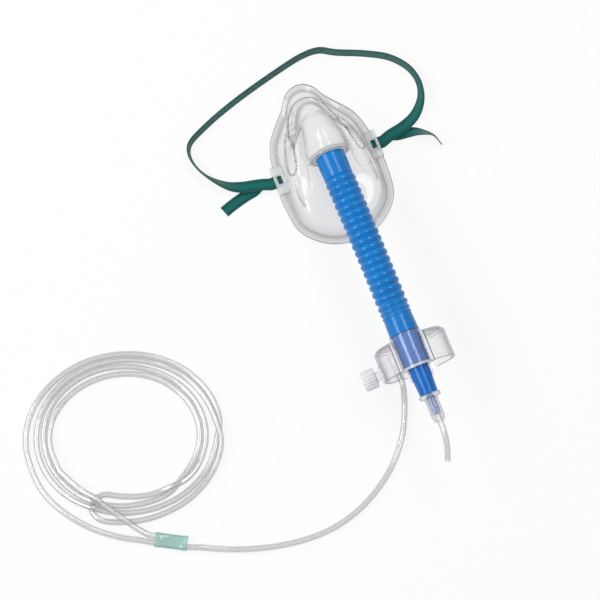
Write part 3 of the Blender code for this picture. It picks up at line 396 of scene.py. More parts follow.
def tube_rings(path: np.ndarray, radius: float, segments: int) -> list[list[Vector]]:
    """Puts a circle round each point of a path, without any twist from one to the next.

    Args:
        path: Points in metres, one row each.
        radius: Radius of the circles.
        segments: Points of each circle.

    Returns:
        The circles, one for each point of the path.
    """
    tangents = np.gradient(path, axis=0)
    tangents /= np.linalg.norm(tangents, axis=1)[:, None]
    side = np.cross(tangents[0], (0.0, 0.0, 1.0))
    if np.linalg.norm(side) < 0.1:
        side = np.cross(tangents[0], (1.0, 0.0, 0.0))
    angles = 2 * math.pi * np.arange(segments) / segments
    rings = []
    for place, run in zip(path, tangents):
        side = side - run * side.dot(run)
        side /= np.linalg.norm(side)
        other = np.cross(run, side)
        ring = place + radius * (np.cos(angles)[:, None] * side + np.sin(angles)[:, None] * other)
        rings.append([Vector(point) for point in ring])
    return rings


def seat(obj: Piece, body: Body, slot: Slot, finish: Material, *nodes: str) -> Piece:
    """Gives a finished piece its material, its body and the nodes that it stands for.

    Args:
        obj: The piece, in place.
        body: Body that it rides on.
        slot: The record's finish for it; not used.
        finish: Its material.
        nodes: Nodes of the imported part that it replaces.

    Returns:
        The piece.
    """
    obj.data.materials.clear()
    obj.data.materials.append(finish)
    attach(obj, body.value)
    if nodes:
        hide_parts(*nodes)
    LOG.info("%s: %d faces", obj.name, len(obj.data.polygons))
    return obj


class Value:
    """A socket of a shader with the usual arithmetic on it."""

    def __init__(self, maker: "ShaderMaker", socket: bpy.types.NodeSocket) -> None:
        """Keeps the socket and the maker that it belongs to."""
        self.maker, self.socket = maker, socket

    def maths(self, operation: str, *others: "Value | float", clamp: bool = False) -> "Value":
        """Adds one Math node on this value and the others."""
        settings = {"operation": operation, "use_clamp": clamp}
        return self.maker.node("ShaderNodeMath", settings, [self, *others])

    def __add__(self, other: "Value | float") -> "Value":
        """Adds."""
        return self.maths("ADD", other)

    def __mul__(self, other: "Value | float") -> "Value":
        """Multiplies."""
        return self.maths("MULTIPLY", other)

    def __sub__(self, other: "Value | float") -> "Value":
        """Subtracts."""
        return self.maths("SUBTRACT", other)

    def __rsub__(self, other: float) -> "Value":
        """Subtracts this value from a number."""
        return self.maths("MULTIPLY_ADD", -1.0, other)

    def __pow__(self, other: float) -> "Value":
        """Raises to a power."""
        return self.maths("POWER", other)

    def sine(self) -> "Value":
        """Takes the sine."""
        return self.maths("SINE")

    def between(self, low: float, high: float) -> "Value":
        """Rises smoothly from 0 at low to 1 at high."""
        values = {"Value": self, "From Min": low, "From Max": high}
        return self.maker.node("ShaderNodeMapRange", {"interpolation_type": "SMOOTHSTEP"}, values)


class ShaderMaker:
    """Builds the shader of a material or of the world out of expressions."""

    def __init__(self, owner: Material | bpy.types.World) -> None:
        """Empties the owner's nodes and adds an output."""
        owner.use_nodes = True
        self.owner, self.tree = owner, owner.node_tree
        self.tree.nodes.clear()
        kind = "World" if isinstance(owner, bpy.types.World) else "Material"
        self.output = self.tree.nodes.new(f"ShaderNodeOutput{kind}")

    def node(
        self, kind: str, settings: dict | None = None, values: dict | Sequence = (), out: int | str = 0
    ) -> Value:
        """Adds a node.

        Args:
            kind: Type of the node.
            settings: Its settings.
            values: Values or links of its sockets, by name or number or in order.
            out: Name or number of the socket to read.

        Returns:
            The value that the node gives.
        """
        made = self.tree.nodes.new(kind)
        for name, setting in (settings or {}).items():
            setattr(made, name, setting)
        for name, value in values.items() if isinstance(values, dict) else enumerate(values):
            if isinstance(value, Value):
                self.tree.links.new(value.socket, made.inputs[name])
            else:
                made.inputs[name].default_value = value
        return Value(self, made.outputs[out])

    def place(self) -> Value:
        """Reads Object coordinates, in metres."""
        return self.node("ShaderNodeTexCoord", out="Object")

    def uv(self) -> Value:
        """Reads the piece's own UV map."""
        return self.node("ShaderNodeTexCoord", out="UV")

    def axis(self, vector: Value, name: str) -> Value:
        """Reads X, Y or Z of a vector."""
        return self.node("ShaderNodeSeparateXYZ", {}, {"Vector": vector}, out=name)

    def noise(self, scale: float, detail: float) -> Value:
        """Reads a noise from 0 to 1, with the scale in patches a metre."""
        return self.node("ShaderNodeTexNoise", {}, {"Vector": self.place(), "Scale": scale, "Detail": detail})

    def colours(self, share: Value, low: Colour, high: Colour) -> Value:
        """Mixes two colours by a share."""
        values = {"Factor": share, COLOUR_A: (*low, 1.0), COLOUR_B: (*high, 1.0)}
        return self.node("ShaderNodeMix", {"data_type": "RGBA"}, values, out=COLOUR_OUT)

    def bump(self, height: Value, strength: float, distance: float) -> Value:
        """Turns a height into a normal."""
        values = {"Height": height, "Strength": strength, "Distance": distance}
        return self.node("ShaderNodeBump", {}, values, out="Normal")

    def principled(self, **values: object) -> Value:
        """Adds the shader, with underscores in its socket names for spaces."""
        named = {name.replace("_", " "): value for name, value in values.items()}
        return self.node("ShaderNodeBsdfPrincipled", {}, named, out="BSDF")

    def mixed(self, share: Value | float, low: Value, high: Value) -> Value:
        """Mixes two shaders."""
        return self.node("ShaderNodeMixShader", {}, [share, low, high])

    def finish(self, shader: Value) -> Material | bpy.types.World:
        """Links the shader to the output and gives what it belongs to."""
        self.tree.links.new(shader.socket, self.output.inputs["Surface"])
        return self.owner


@dataclass(frozen=True)
class ClearFinish:
    """A clear plastic: nearly unseen where it faces the eye, with painted shade where it turns away.

    Attributes:
        name: Name of the material.
        tint: Colour where it faces the eye.
        edge: Painted shade colour where it turns away, for the dark surroundings seen through the plastic.
        face_alpha: How much it covers where it faces the eye.
        edge_alpha: How much it covers where it turns away.
        turn: Power that keeps the edge narrow.
        roughness: Roughness of its gloss.
        ripple: Strength of its unevenness.
        ripple_scale: Patches of unevenness a metre.
        shine: Strength of its reflections.
        painted_dark_lines: Gives painted shade lines where it turns sharply.
        milk: Says where it is frosted.
    """

    name: str
    tint: Colour
    edge: Colour
    face_alpha: float
    edge_alpha: float
    turn: float
    roughness: float = 0.12
    ripple: float = 0.1
    ripple_scale: float = 120.0
    shine: float = 1.0
    painted_dark_lines: Callable | None = None
    milk: Callable | None = None

    def make(self) -> Material:
        """Builds the material, with a soft unevenness in its thickness and its gloss."""
        maker = ShaderMaker(bpy.data.materials.new(self.name))
        uneven, fine = maker.noise(self.ripple_scale, 2.0), maker.noise(900.0, 2.0)
        normal = maker.bump(uneven, self.ripple, 0.4 * MM)
        away = maker.node("ShaderNodeLayerWeight", {}, {"Blend": 0.5}, out="Facing")
        facing = away**self.turn
        # Painted shade lines push the mix further toward the painted edge shade
        if self.painted_dark_lines:
            facing = facing.maths("ADD", self.painted_dark_lines(maker), clamp=True)
        alpha = self.milk(maker).maths("ADD", self.face_alpha, clamp=True) if self.milk else self.face_alpha
        roughness = fine.between(0.2, 0.9) * 0.08 + self.roughness
        # The second shader carries the painted edge shade, mixed in where the plastic turns away
        face, side = (
            maker.principled(
                Base_Color=maker.colours(uneven, tint, tuple(dimmed * c for c in tint)),
                Alpha=cover,
                Roughness=roughness,
                Normal=normal,
                IOR=1.5,
            )
            for tint, dimmed, cover in ((self.tint, 0.94, alpha), (self.edge, 0.9, self.edge_alpha))
        )
        mirror = {"Base_Color": (1, 1, 1, 1), "Metallic": 1.0, "Roughness": self.roughness}
        gloss = maker.principled(**mirror, Normal=normal)
        mirrored = away**5.0 * 0.2 + 0.045 * self.shine
        return maker.finish(maker.mixed(mirrored, maker.mixed(facing, face, side), gloss))


@dataclass(frozen=True)
class MouldedFinish:
    """A coloured glossy plastic with fine variation."""

    name: str
    colour: Colour
    deep: Colour
    roughness: float
    coat: float

    def make(self) -> Material:
        """Builds the material, with faint flow marks and a fine texture."""
        maker = ShaderMaker(bpy.data.materials.new(self.name))
        flow = maker.noise(60.0, 4.0)
        fine = maker.noise(1600.0, 2.0)
        shader = maker.principled(
            Base_Color=maker.colours(flow.between(0.25, 0.75), self.deep, self.colour),
            Roughness=flow * 0.12 + self.roughness,
            Normal=maker.bump(fine, 0.12, 0.05 * MM),
            Coat_Weight=self.coat,
            Coat_Roughness=0.12,
            Specular_IOR_Level=0.3,
            Subsurface_Weight=0.08,
            Subsurface_Scale=0.002,
        )
        return maker.finish(shader)


@dataclass(frozen=True)
class ElasticFinish:
    """A woven elastic band: fine cords along it, painted light along its middle with darker edges, and soft
    fluff.
    """

    name: str = "green woven elastic"
    dark: Colour = (0.004, 0.062, 0.054)
    light: Colour = (0.018, 0.180, 0.158)
    cords: float = 14.0
    picks: float = 0.0011

    def make(self) -> Material:
        """Builds the material from the band's own UV map, where u runs across it and v along it in metres."""
        maker = ShaderMaker(bpy.data.materials.new(self.name))
        where = maker.uv()
        across, along = maker.axis(where, "X"), maker.axis(where, "Y")
        cord = (across * (2 * math.pi * self.cords)).sine() * 0.5 + 0.5
        pick = (along * (2 * math.pi / self.picks) + across * 9.0).sine() * 0.5 + 0.5
        weave = cord * 0.65 + pick * cord * 0.35
        # Painted light: the band is lighter along its middle and darker at its edges, as light falls on the
        # twisted band
        painted_lit_middle = 1.0 - (across - 0.5).maths("ABSOLUTE").between(0.12, 0.30)
        fluff = maker.noise(700.0, 4.0)
        shade = weave * 0.45 + painted_lit_middle * 0.35 + fluff * 0.25
        shader = maker.principled(
            Base_Color=maker.colours(shade, self.dark, self.light),
            Roughness=1.0 - fluff * 0.2,
            Normal=maker.bump(weave + fluff * 0.3, 0.7, 0.25 * MM),
            Sheen_Weight=0.34,
            Sheen_Roughness=0.4,
            Specular_IOR_Level=0.15,
        )
        return maker.finish(shader)


@dataclass(frozen=True)
class HoodMarks:
    """Where the hood gets painted shade lines or is frosted, in its own frame: along its ribs, its mouth and
    its chamfer.
    """

    place: Vector
    sleeve: float = 13.0 * MM
    rib: tuple[float, float] = (13.9 * MM, 16.4 * MM)

    def axes(self, maker: ShaderMaker) -> tuple[Value, Value, Value]:
        """Reads the distances across, along and above the sleeve's axis, with the first one unsigned."""
        values = {"Vector": maker.place(), "Location": self.place, "Rotation": (0, -LEAN, 0)}
        where = maker.node("ShaderNodeMapping", {"vector_type": "TEXTURE"}, values)
        x, y, z = (maker.axis(where, name) for name in "XYZ")
        return x.maths("ABSOLUTE"), y, z

    def line(self, value: Value, at: float, reach: float) -> Value:
        """Rises to 1 where a value is near one place."""
        return 1.0 - (value - at).maths("ABSOLUTE").between(0.3 * reach, reach)

    def painted_dark_lines(self, maker: ShaderMaker) -> Value:
        """Gives the painted shade lines beside the ribs and along the mouth, the chamfer and the end."""
        x, y, z = self.axes(maker)
        near, far = self.rib
        beside = self.line(x, near - 0.5 * MM, 0.7 * MM) * 0.55 + self.line(x, far + 0.2 * MM, 0.7 * MM) * 0.8
        ribs = beside * z.between(-6 * MM, -1 * MM) * y.between(0, MM)
        # Painted shade along the mouth, the chamfer and the end wall
        mouth = self.line(y, 0.3 * MM, 1.3 * MM) * 0.30
        chamfer = self.line(y, HOOD_LENGTH - HOOD_CHAMFER, 0.8 * MM) * 0.20
        end = self.line(y, HOOD_LENGTH, 0.7 * MM) * 0.25
        return ribs.maths("MAXIMUM", (mouth + (chamfer + end)) * x.between(self.sleeve, far))

    def milk(self, maker: ShaderMaker) -> Value:
        """Gives the frosted parts: the two ribs and the sleeve's floor."""
        x, y, z = self.axes(maker)
        near, far = self.rib
        ribs = self.line(x, (near + far) / 2, 1.5 * MM) * z.between(-4 * MM, 0) * 0.45
        floor = (1.0 - y.between(1.8 * MM, 2.6 * MM)) * (1.0 - x.between(near, far))
        return ribs.maths("MAXIMUM", floor * z.between(-16 * MM, -13 * MM) * 0.5)


def read_painted_shade(maker: ShaderMaker) -> Value:
    """Reads the shell's own attribute of painted shade, which darkens it where it turns sharply."""
    return maker.node("ShaderNodeAttribute", {"attribute_name": PAINTED_SHADE_ATTRIBUTE}, out="Fac")


@dataclass
class Finishes:
    """All the materials of the object, each made once."""

    marks: HoodMarks
    soft: Material = field(init=False)
    lug: Material = field(init=False)
    hard: Material = field(init=False)
    faint: Material = field(init=False)
    hood: Material = field(init=False)
    cap: Material = field(init=False)
    tubing: Material = field(init=False)
    sleeve: Material = field(init=False)
    hose: Material = field(init=False)
    moulded: Material = field(init=False)
    elastic: Material = field(init=False)
    thread: Material = field(init=False)

    def __post_init__(self) -> None:
        """Makes the materials."""
        # The dark second colour of each clear finish below is painted shade for its edges
        grey, white, violet = (0.10, 0.105, 0.12), (0.88, 0.89, 0.91), (0.14, 0.15, 0.25)
        soft = ClearFinish("clear soft vinyl", (0.46, 0.47, 0.49), grey, 0.14, 0.92, 4.0, 0.08, 0.12, 90.0)
        self.soft = replace(soft, painted_dark_lines=read_painted_shade, shine=0.45).make()
        self.lug = ClearFinish("milky lug vinyl", white, (0.20, 0.21, 0.23), 0.42, 0.95, 3.0, 0.12).make()
        hard = ClearFinish("clear moulded plastic", white, violet, 0.06, 0.92, 3.5, 0.05)
        self.hard = replace(hard, name="clear fitting plastic", face_alpha=0.16, turn=2.0, shine=0.6).make()
        self.faint = replace(hard, name="faint clear plastic").make()
        self.hood = replace(hard, painted_dark_lines=self.marks.painted_dark_lines, milk=self.marks.milk, shine=0.45).make()
        milky, shade = (0.96, 0.97, 0.98), (0.60, 0.62, 0.70)
        self.cap = ClearFinish("milky cap plastic", milky, shade, 0.58, 0.95, 1.8).make()
        water, deep_grey = (0.70, 0.70, 0.70), (0.34, 0.34, 0.35)
        tube = ClearFinish("clear tubing", water, deep_grey, 0.17, 0.80, 1.6, 0.03, 0.02)
        self.tubing = replace(tube, shine=2.6).make()
        teal, deep_teal = (0.50, 0.88, 0.80), (0.05, 0.44, 0.38)
        self.sleeve = ClearFinish("green clear sleeve", teal, deep_teal, 0.34, 0.95, 1.6, 0.10, 0.04).make()
        blue = ((0.0, 0.205, 0.60), (0.0, 0.175, 0.53))
        self.hose = MouldedFinish("blue hose plastic", *blue, 0.16, 0.15).make()
        deep_blue = ((0.0, 0.155, 0.56), (0.0, 0.130, 0.49))
        self.moulded = MouldedFinish("blue moulded plastic", *deep_blue, 0.14, 0.1).make()
        self.elastic = ElasticFinish().make()
        self.thread = MouldedFinish("green thread", (0.02, 0.17, 0.13), (0.01, 0.10, 0.08), 0.7, 0.0).make()


@dataclass(frozen=True)
class Studio:
    """The camera of the photograph, a pale floor and plain soft light."""

    layout: Layout
    distance: float = 2.2
    lean_x: float = 5.0
    lean_y: float = 9.0
    roll: float = 22.0
    aim_height: float = 0.060
    aside: float = 0.1053
    above: float = 0.0576
    seen_width: float = 0.540
    sensor: float = 36.0
    floor_size: float = 6.0
    floor_gap: float = 0.4 * MM
    floor_white: float = 0.86

    def camera(self) -> None:
        """Adds the camera, which looks down on the object with a roll."""
        lean = [math.tan(math.radians(angle)) for angle in (self.lean_x, self.lean_y)]
        back = Vector((-lean[0], -lean[1], 1)).normalized()
        upright = (Vector((0, 1, 0)) - back * back.y).normalized()
        level = upright.cross(back)
        cos, sin = math.cos(math.radians(self.roll)), math.sin(math.radians(self.roll))
        right, up = cos * level - sin * upright, cos * upright + sin * level
        place = self.layout.place(0, 0, self.aim_height)
        place += back * self.distance - right * self.aside + up * self.above
        data = bpy.data.cameras.new("photo camera")
        data.sensor_width = self.sensor
        data.lens = self.sensor * self.distance / self.seen_width
        camera = bpy.data.objects.new("photo camera", data)
        camera.matrix_world = Matrix.Translation(place) @ Matrix((right, up, back)).transposed().to_4x4()
        bpy.context.scene.collection.objects.link(camera)
        bpy.context.scene.camera = camera

    def rays(self, maker: ShaderMaker) -> list[Value]:
        """Says whether a ray comes from the eye, from a reflection or through a clear piece."""
        path = maker.node("ShaderNodeLightPath").socket.node
        return [Value(maker, path.outputs[f"Is {kind} Ray"]) for kind in ("Camera", "Glossy", "Transmission")]

    def floor(self) -> None:
        """Adds the pale floor, which keeps a faint shadow."""
        deselect()
        bpy.ops.mesh.primitive_plane_add(size=self.floor_size, location=(0, 0, -self.floor_gap))
        floor = bpy.context.object
        floor.name = "pale_floor"
        maker = ShaderMaker(bpy.data.materials.new("pale floor"))
        matt = maker.principled(Base_Color=(0.9, 0.9, 0.9, 1), Roughness=0.9, Specular_IOR_Level=0.1)
        white = maker.node("ShaderNodeEmission", {}, {"Color": (1, 1, 1, 1), "Strength": 1.0})
        camera, glossy, passed = self.rays(maker)
        seen = (camera + glossy).maths("ADD", passed, clamp=True) * self.floor_white
        floor.data.materials.append(maker.finish(maker.mixed(seen, matt, white)))

    def lamp(self, name: str, place: Vector, size: tuple[float, float], power: float) -> None:
        """Adds one rectangular lamp, level along Y and leaning to face the object across it.

        Args:
            name: Name of the lamp.
            place: Where it stands.
            size: Its width across X and its length along Y.
            power: Its power in watts.
        """
        data = bpy.data.lights.new(name, "AREA")
        data.shape = "RECTANGLE"
        data.size, data.size_y = size
        data.energy = power
        lamp = bpy.data.objects.new(name, data)
        lamp.location = place
        lamp.rotation_euler = (0, math.atan2(place.x - self.layout.origin.x, place.z), 0)
        bpy.context.scene.collection.objects.link(lamp)

    def light(self) -> None:
        """Adds the lamps and the world."""
        aim = self.layout.place(-0.1, 0.1, 0.02)
        self.lamp("left light", aim + Vector((-1.35, 0.6, 1.5)), (0.8, 2.2), 30)
        self.lamp("right light", aim + Vector((0.85, 0.6, 1.7)), (0.5, 2.2), 16)
        world = bpy.data.worlds.new("studio")
        bpy.context.scene.world = world
        maker = ShaderMaker(world)
        camera, glossy, passed = self.rays(maker)
        seen = camera.maths("MAXIMUM", glossy.maths("MULTIPLY_ADD", 0.6, passed))
        strength = seen.maths("MULTIPLY_ADD", 0.6, 0.4)
        maker.finish(maker.node("ShaderNodeBackground", {}, {"Strength": strength}))
        scene = bpy.context.scene
        scene.view_settings.view_transform = "Standard"
        scene.cycles.transparent_max_bounces = 48


LEAD_ROUTE = (
    *((-13.6, -9, 11), (-16, -18, 7.8), (-19.6, -28, 4.6), (-24.5, -39, 3.1), (-31, -50.5, 3)),
    *((-39, -61, 3), (-49, -71.5, 3), (-60, -80.5, 3), (-73, -89, 3), (-87, -96, 3)),
    *((-102, -101.5, 3), (-118, -105, 3), (-134, -106.3, 3), (-151, -105.6, 3), (-168, -103.2, 3)),
    *((-184, -99.6, 3), (-200, -94.8, 3), (-215, -89.2, 3), (-230, -82.4, 3.3), (-240, -77.4, 3.8)),
)
LOWER_STRAND = (
    *((-288, -51.4, 3.7), (-299, -45.4, 3.2), (-311, -37.4, 3), (-323, -27.6, 3), (-334, -16, 3)),
    *((-343.5, -3, 3), (-351.3, 11, 3), (-355.8, 24.5, 3), (-357.6, 36.5, 3)),
)
UPPER_STRAND = (
    *((-282.5, -46.5, 5), (-288.5, -39, 9), (-295, -29.6, 13.2), (-302, -19.5, 15.2)),
    *((-310.5, -7.5, 15.1), (-319, 5, 15.1), (-326.5, 17.5, 15.1)),
)
STUB_ROUTE = ((0, -55, -0.1), (-0.4, -63, -0.7), (-1.6, -72, -3), (-3.6, -80, -6.6), (-6, -87, -11.2))


@dataclass(frozen=True)
class Winding:
    """One tube that is folded at its middle and wound as two strands, as such tubing is packed.

    A strand's distance from the coil's middle line and its height change along the winding, which starts at
    the left and goes clockwise. The fold lies on the floor under the other turns.
    """

    layout: Layout
    centre: tuple[float, float] = (-0.2675, 0.0428)
    half_width: float = 78.6 * MM
    half_depth: float = 67.0 * MM
    turn: float = math.radians(-22)
    start: float = math.radians(203)
    sweep: float = math.radians(663)
    outer: float = 9.4 * MM
    inner: float = 3.1 * MM
    low: float = 2.95 * MM
    high: float = 8.7 * MM
    top: float = 15.1 * MM
    spread: float = 3.6 * MM
    pinch: float = 1.6 * MM
    sway: float = 0.9 * MM
    fold_radius: float = 11.6 * MM

    # Degrees gone round: where a strand starts and ends its move inward, and then its move outward
    outer_moves: tuple[int, ...] = (130, 300, 455, 590)
    inner_moves: tuple[int, ...] = (190, 330, 520, 650)
    lead_in: int = 12
    settled: int = 60

    def at(self, wound: float, offset: float, height: float) -> Vector:
        """Finds a place on the winding.

        Args:
            wound: Angle gone round from the start.
            offset: Distance outward from the middle line.
            height: Height over the floor.

        Returns:
            The place in the frame.
        """
        angle = self.start - wound
        middle = Vector((self.half_width * math.cos(angle), self.half_depth * math.sin(angle), 0))
        out = Vector((self.half_depth * math.cos(angle), self.half_width * math.sin(angle), 0)).normalized()
        flat = Matrix.Rotation(self.turn, 3, "Z") @ (middle + out * offset)
        return self.layout.place(self.centre[0] + flat.x, self.centre[1] + flat.y, height)

    def strand(self, side: int) -> list[Vector]:
        """Winds one strand from the start to the fold.

        Args:
            side: 1 for the outer strand and -1 for the inner one.

        Returns:
            Its points, 3 degrees apart.
        """
        moves = self.outer_moves if side > 0 else self.inner_moves
        whole = math.degrees(self.sweep)
        points = []
        for step in range(0 if side > 0 else -self.lead_in, round(whole) + 1, 3):
            begun = ease(step / self.settled)
            inward = ease((step - moves[0]) / (moves[1] - moves[0]))
            outward = ease((step - moves[2]) / (moves[3] - moves[2]))
            offset = mix(self.outer, self.inner, inward - outward)
            offset += self.spread * (1 - begun) * (side > 0) - self.pinch * ease(-step / self.lead_in)
            offset += self.sway * math.sin(math.radians(2.3 * step + 60 * side)) * begun
            offset = mix(offset, self.fold_radius, ease((step - whole + 40) / 36))
            crossing = ease((step - moves[2]) / 35) * ease((moves[3] + 20 - step) / 35)
            passing = ease((step - 305) / 18) * ease((365 - step) / 18)
            height = mix(mix(self.low, self.high, crossing), self.high, passing)
            if side < 0:
                height = max(height, mix(self.top, self.low, ease((step + 2) / self.settled)))
            points.append(self.at(math.radians(step), side * offset, height))
        return points

    def fold(self) -> list[Vector]:
        """Turns the outer strand into the inner one in a level half circle."""
        middle = self.at(self.sweep, 0, self.low)
        edge = self.at(self.sweep, self.fold_radius, self.low) - middle
        ahead = (self.at(self.sweep + 0.02, 0, self.low) - middle).normalized()
        turns = [math.pi * k / 12 for k in range(1, 12)]
        return [middle + edge * math.cos(a) + ahead * edge.length * math.sin(a) for a in turns]

    def path(self) -> list[Vector]:
        """Joins the outer strand, the fold and the inner strand."""
        return [*self.strand(1), *self.fold(), *self.strand(-1)[::-1]]


@dataclass(frozen=True)
class Settling:
    """Lets a wound tube settle, so that its turns lie beside and on each other and on the floor."""

    spacing: float = 3.6 * MM
    contact: float = 5.76 * MM
    floor: float = 2.86 * MM
    rounds: int = 160
    last_rounds: int = 12
    skip: int = 5
    push_share: float = 0.5
    even_share: float = 0.3
    sink: float = 0.05 * MM

    def far_apart(self, count: int) -> np.ndarray:
        """Says which pairs of points are far from each other along the tube."""
        numbers = np.arange(count)
        return np.abs(numbers[:, None] - numbers[None, :]) > self.skip

    def nearest(self, path: np.ndarray) -> float:
        """Measures how near two strands come to each other."""
        gap = np.linalg.norm(path[:, None, :] - path[None, :, :], axis=2)
        return float(gap[self.far_apart(len(path))].min())

    def settle(self, path: np.ndarray, free: np.ndarray) -> np.ndarray:
        """Moves the free points of a path apart until the tube doesn't run through itself.

        Args:
            path: Even points along the tube.
            free: Share of the push that each point follows, from 0 to 1.

        Returns:
            The settled points.
        """
        shift, far = np.zeros_like(path), self.far_apart(len(path))
        for round_number in range(self.rounds):
            now = path + shift
            gap = now[:, None, :] - now[None, :, :]
            reach = np.sqrt((gap**2).sum(axis=2)) + 1e-9
            close = far & (reach < self.contact)
            push = np.where(close, (self.contact - reach) / reach, 0.0)
            move = (gap * push[:, :, None]).sum(axis=1) / np.maximum(close.sum(axis=1), 1)[:, None]
            shift += self.push_share * move * free[:, None]
            shift[:, 2] = np.maximum(shift[:, 2], (self.floor - path[:, 2]) * (free > 0))
            if round_number < self.rounds - self.last_rounds:
                shift[:, 2] -= self.sink * free
                between = (shift[:-2] + shift[2:]) / 2 - shift[1:-1]
                shift[1:-1] += self.even_share * between * free[1:-1, None]
        return path + shift


@dataclass(frozen=True)
class Tubing:
    """The long clear tubing from its end connector through the green sleeve into the coil and back."""

    layout: Layout
    finishes: Finishes
    radius: float = 2.85 * MM
    bore: float = 1.9 * MM
    sleeve_centre: tuple[float, float] = (-0.263, -0.0625)
    sleeve_turn: float = math.radians(-29)
    sleeve_length: float = 30 * MM
    sleeve_wall: float = 0.8 * MM
    engagement: float = 6 * MM
    fitting_length: float = 24 * MM
    fitting_radius: float = 4.6 * MM
    fade: float = 0.03
    length: float = 2.358
    stub_length: float = 0.0438

    def sleeve_height(self) -> float:
        """Gives the outer height of the green sleeve."""
        return 2 * (self.radius + FIT_GAP + self.sleeve_wall)

    def in_sleeve(self, side: int, shares: Sequence[float]) -> list[Vector]:
        """Gives places of one strand in the green sleeve; side is -1 outer or 1 inner."""
        along = Vector((math.cos(self.sleeve_turn), math.sin(self.sleeve_turn), 0))
        across = Vector((-along.y, along.x, 0)) * side * (self.radius + FIT_GAP / 2)
        middle = self.layout.place(*self.sleeve_centre, self.sleeve_height() / 2) + across
        return [middle + along * share * self.sleeve_length / 2 for share in shares]

    def tube(self, name: str, path: np.ndarray) -> Piece:
        """Makes a hollow tube along a path."""
        outer, inner = tube_rings(path, self.radius, 16), tube_rings(path, self.bore, 16)
        return lofted(name, [*outer, *inner[::-1]], joined=True)

    def fitting_tail(self) -> Vector:
        """Finds the tail of the end connector from its node."""
        low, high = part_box("tubing_end_connector")
        return Vector(((low.x + high.x) / 2, low.y, (low.z + high.z) / 2))

    def long_path(self) -> np.ndarray:
        """Finds the long tube's middle line: lead, sleeve, lower strand, winding and upper strand."""
        tail, settling = self.fitting_tail(), Settling()
        ahead = [tail + Vector((0, self.engagement, 0)), tail, *self.layout.route(LEAD_ROUTE)]
        ahead += self.in_sleeve(-1, (1.15, 0, -1.15))
        back = [*self.layout.route(UPPER_STRAND)[::-1], *self.in_sleeve(1, (-1.15, 0, 0.7))]
        whole = [*ahead, *self.layout.route(LOWER_STRAND), *Winding(self.layout).path()[1:], *back]
        path = even_points(np.array(smooth_points(whole, 4)), settling.spacing)
        held, held_end = length_of(np.array(smooth_points(ahead, 4))), length_of(np.array(back[-4:]))
        along = np.arange(len(path)) * length_of(path) / (len(path) - 1)
        free = np.clip((along - held) / self.fade, 0, 1)
        free *= np.clip((along[-1] - held_end - along) / self.fade, 0, 1)
        path = settling.settle(path, free)
        nearest = settling.nearest(path) / MM
        LOG.info("long tube: %.3f m, nearest strands %.2f mm apart", length_of(path), nearest)
        return np.array(smooth_points(path, 2))

    def stub(self) -> Piece:
        """Makes the short bare tube in the supply connector."""
        low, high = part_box("supply_connector")
        mouth = Vector(((low.x + high.x) / 2, low.y, (low.z + high.z) / 2))
        hub = Vector((mouth.x, self.layout.origin.y + HOOD_MOUTH, mouth.z))
        route = [mouth + Vector((0, self.engagement, 0)), *self.layout.route(STUB_ROUTE, hub)]
        path = even_points(np.array(smooth_points(route, 8)), 1.5 * MM)
        stub = self.tube("supply_stub", path)
        seat(stub, Body.SET, Slot.TUBING, self.finishes.tubing, "supply_tube_stub")
        LOG.info("supply stub: %.4f m", length_of(path))
        2 * self.radius
        return stub

    def sleeve(self) -> Piece:
        """Makes the flat green sleeve with a raised panel and a rib at each end."""
        spin = Matrix.Rotation(self.sleeve_turn, 3, "Z")
        half, height = self.sleeve_length / 2, self.sleeve_height()
        centre = self.layout.place(*self.sleeve_centre, height / 2)

        def ring(along: float, radius: float) -> list[Vector]:
            """Gives a flat-sided loop round both strands."""
            points = []
            for side in (1, -1):
                for k in range(13):
                    turn = math.pi * k / 12 - math.pi / 2
                    y = side * (self.radius + FIT_GAP / 2 + radius * math.cos(turn))
                    points.append(centre + spin @ Vector((along, y, side * radius * math.sin(turn))))
            return points

        inner, wall = self.radius + FIT_GAP, self.sleeve_wall
        panel, rib = inner + 0.62 * wall, inner + wall
        end = [(0, inner), (0.2 * MM, inner + 0.8 * wall), (0.8 * MM, rib), (5 * MM, rib), (5.6 * MM, panel)]
        profile = [(-half + along, radius) for along, radius in end]
        profile += [(half - along, radius) for along, radius in end[::-1]]
        sleeve = lofted("green_sleeve", [ring(*point) for point in profile], joined=True)
        return seat(sleeve, Body.SET, Slot.GREEN_CLEAR, self.finishes.sleeve, "tubing_sleeve")

    def end_connector(self) -> Piece:
        """Makes the clear soft connector on the tubing's near end."""
        socket, radius, length = self.radius + 0.1 * MM, self.fitting_radius, self.fitting_length
        depth, groove = self.engagement + FIT_GAP, radius - 0.5 * MM
        outline = [(socket, 0), (radius - 0.7 * MM, 0), (radius - 0.1 * MM, 0.4 * MM), (radius, 1.1 * MM)]
        for rib in range(3):
            near = (7 + 3 * rib) * MM
            outline += [(radius, near), (groove, near + 0.5 * MM)]
            outline += [(groove, near + 1.4 * MM), (radius, near + 1.9 * MM)]
        outline += [(radius, length - 2 * MM), (radius - 0.9 * MM, length), (socket, length)]
        outline += [(socket, length / 2 + 1 * MM), (self.bore, length / 2)]
        outline += [(self.bore, depth), (socket, depth)]
        place = Matrix.Translation(self.fitting_tail()) @ Matrix.Rotation(-math.pi / 2, 4, "X")
        fitting = turned("end_connector", outline, 40, place)
        return seat(fitting, Body.SET, Slot.HARD_CLEAR, self.finishes.faint, "tubing_end_connector")

    def build(self) -> None:
        """Makes the tubing."""
        centreline = self.long_path()
        tube = self.tube("long_tube", centreline)
        nodes = ("tubing_lead", "tubing_return", "tubing_coil")
        seat(tube, Body.SET, Slot.TUBING, self.finishes.tubing, *nodes)
        pieces = [self.sleeve(), self.end_connector()]
        self.length
        2 * self.radius
        self.stub()


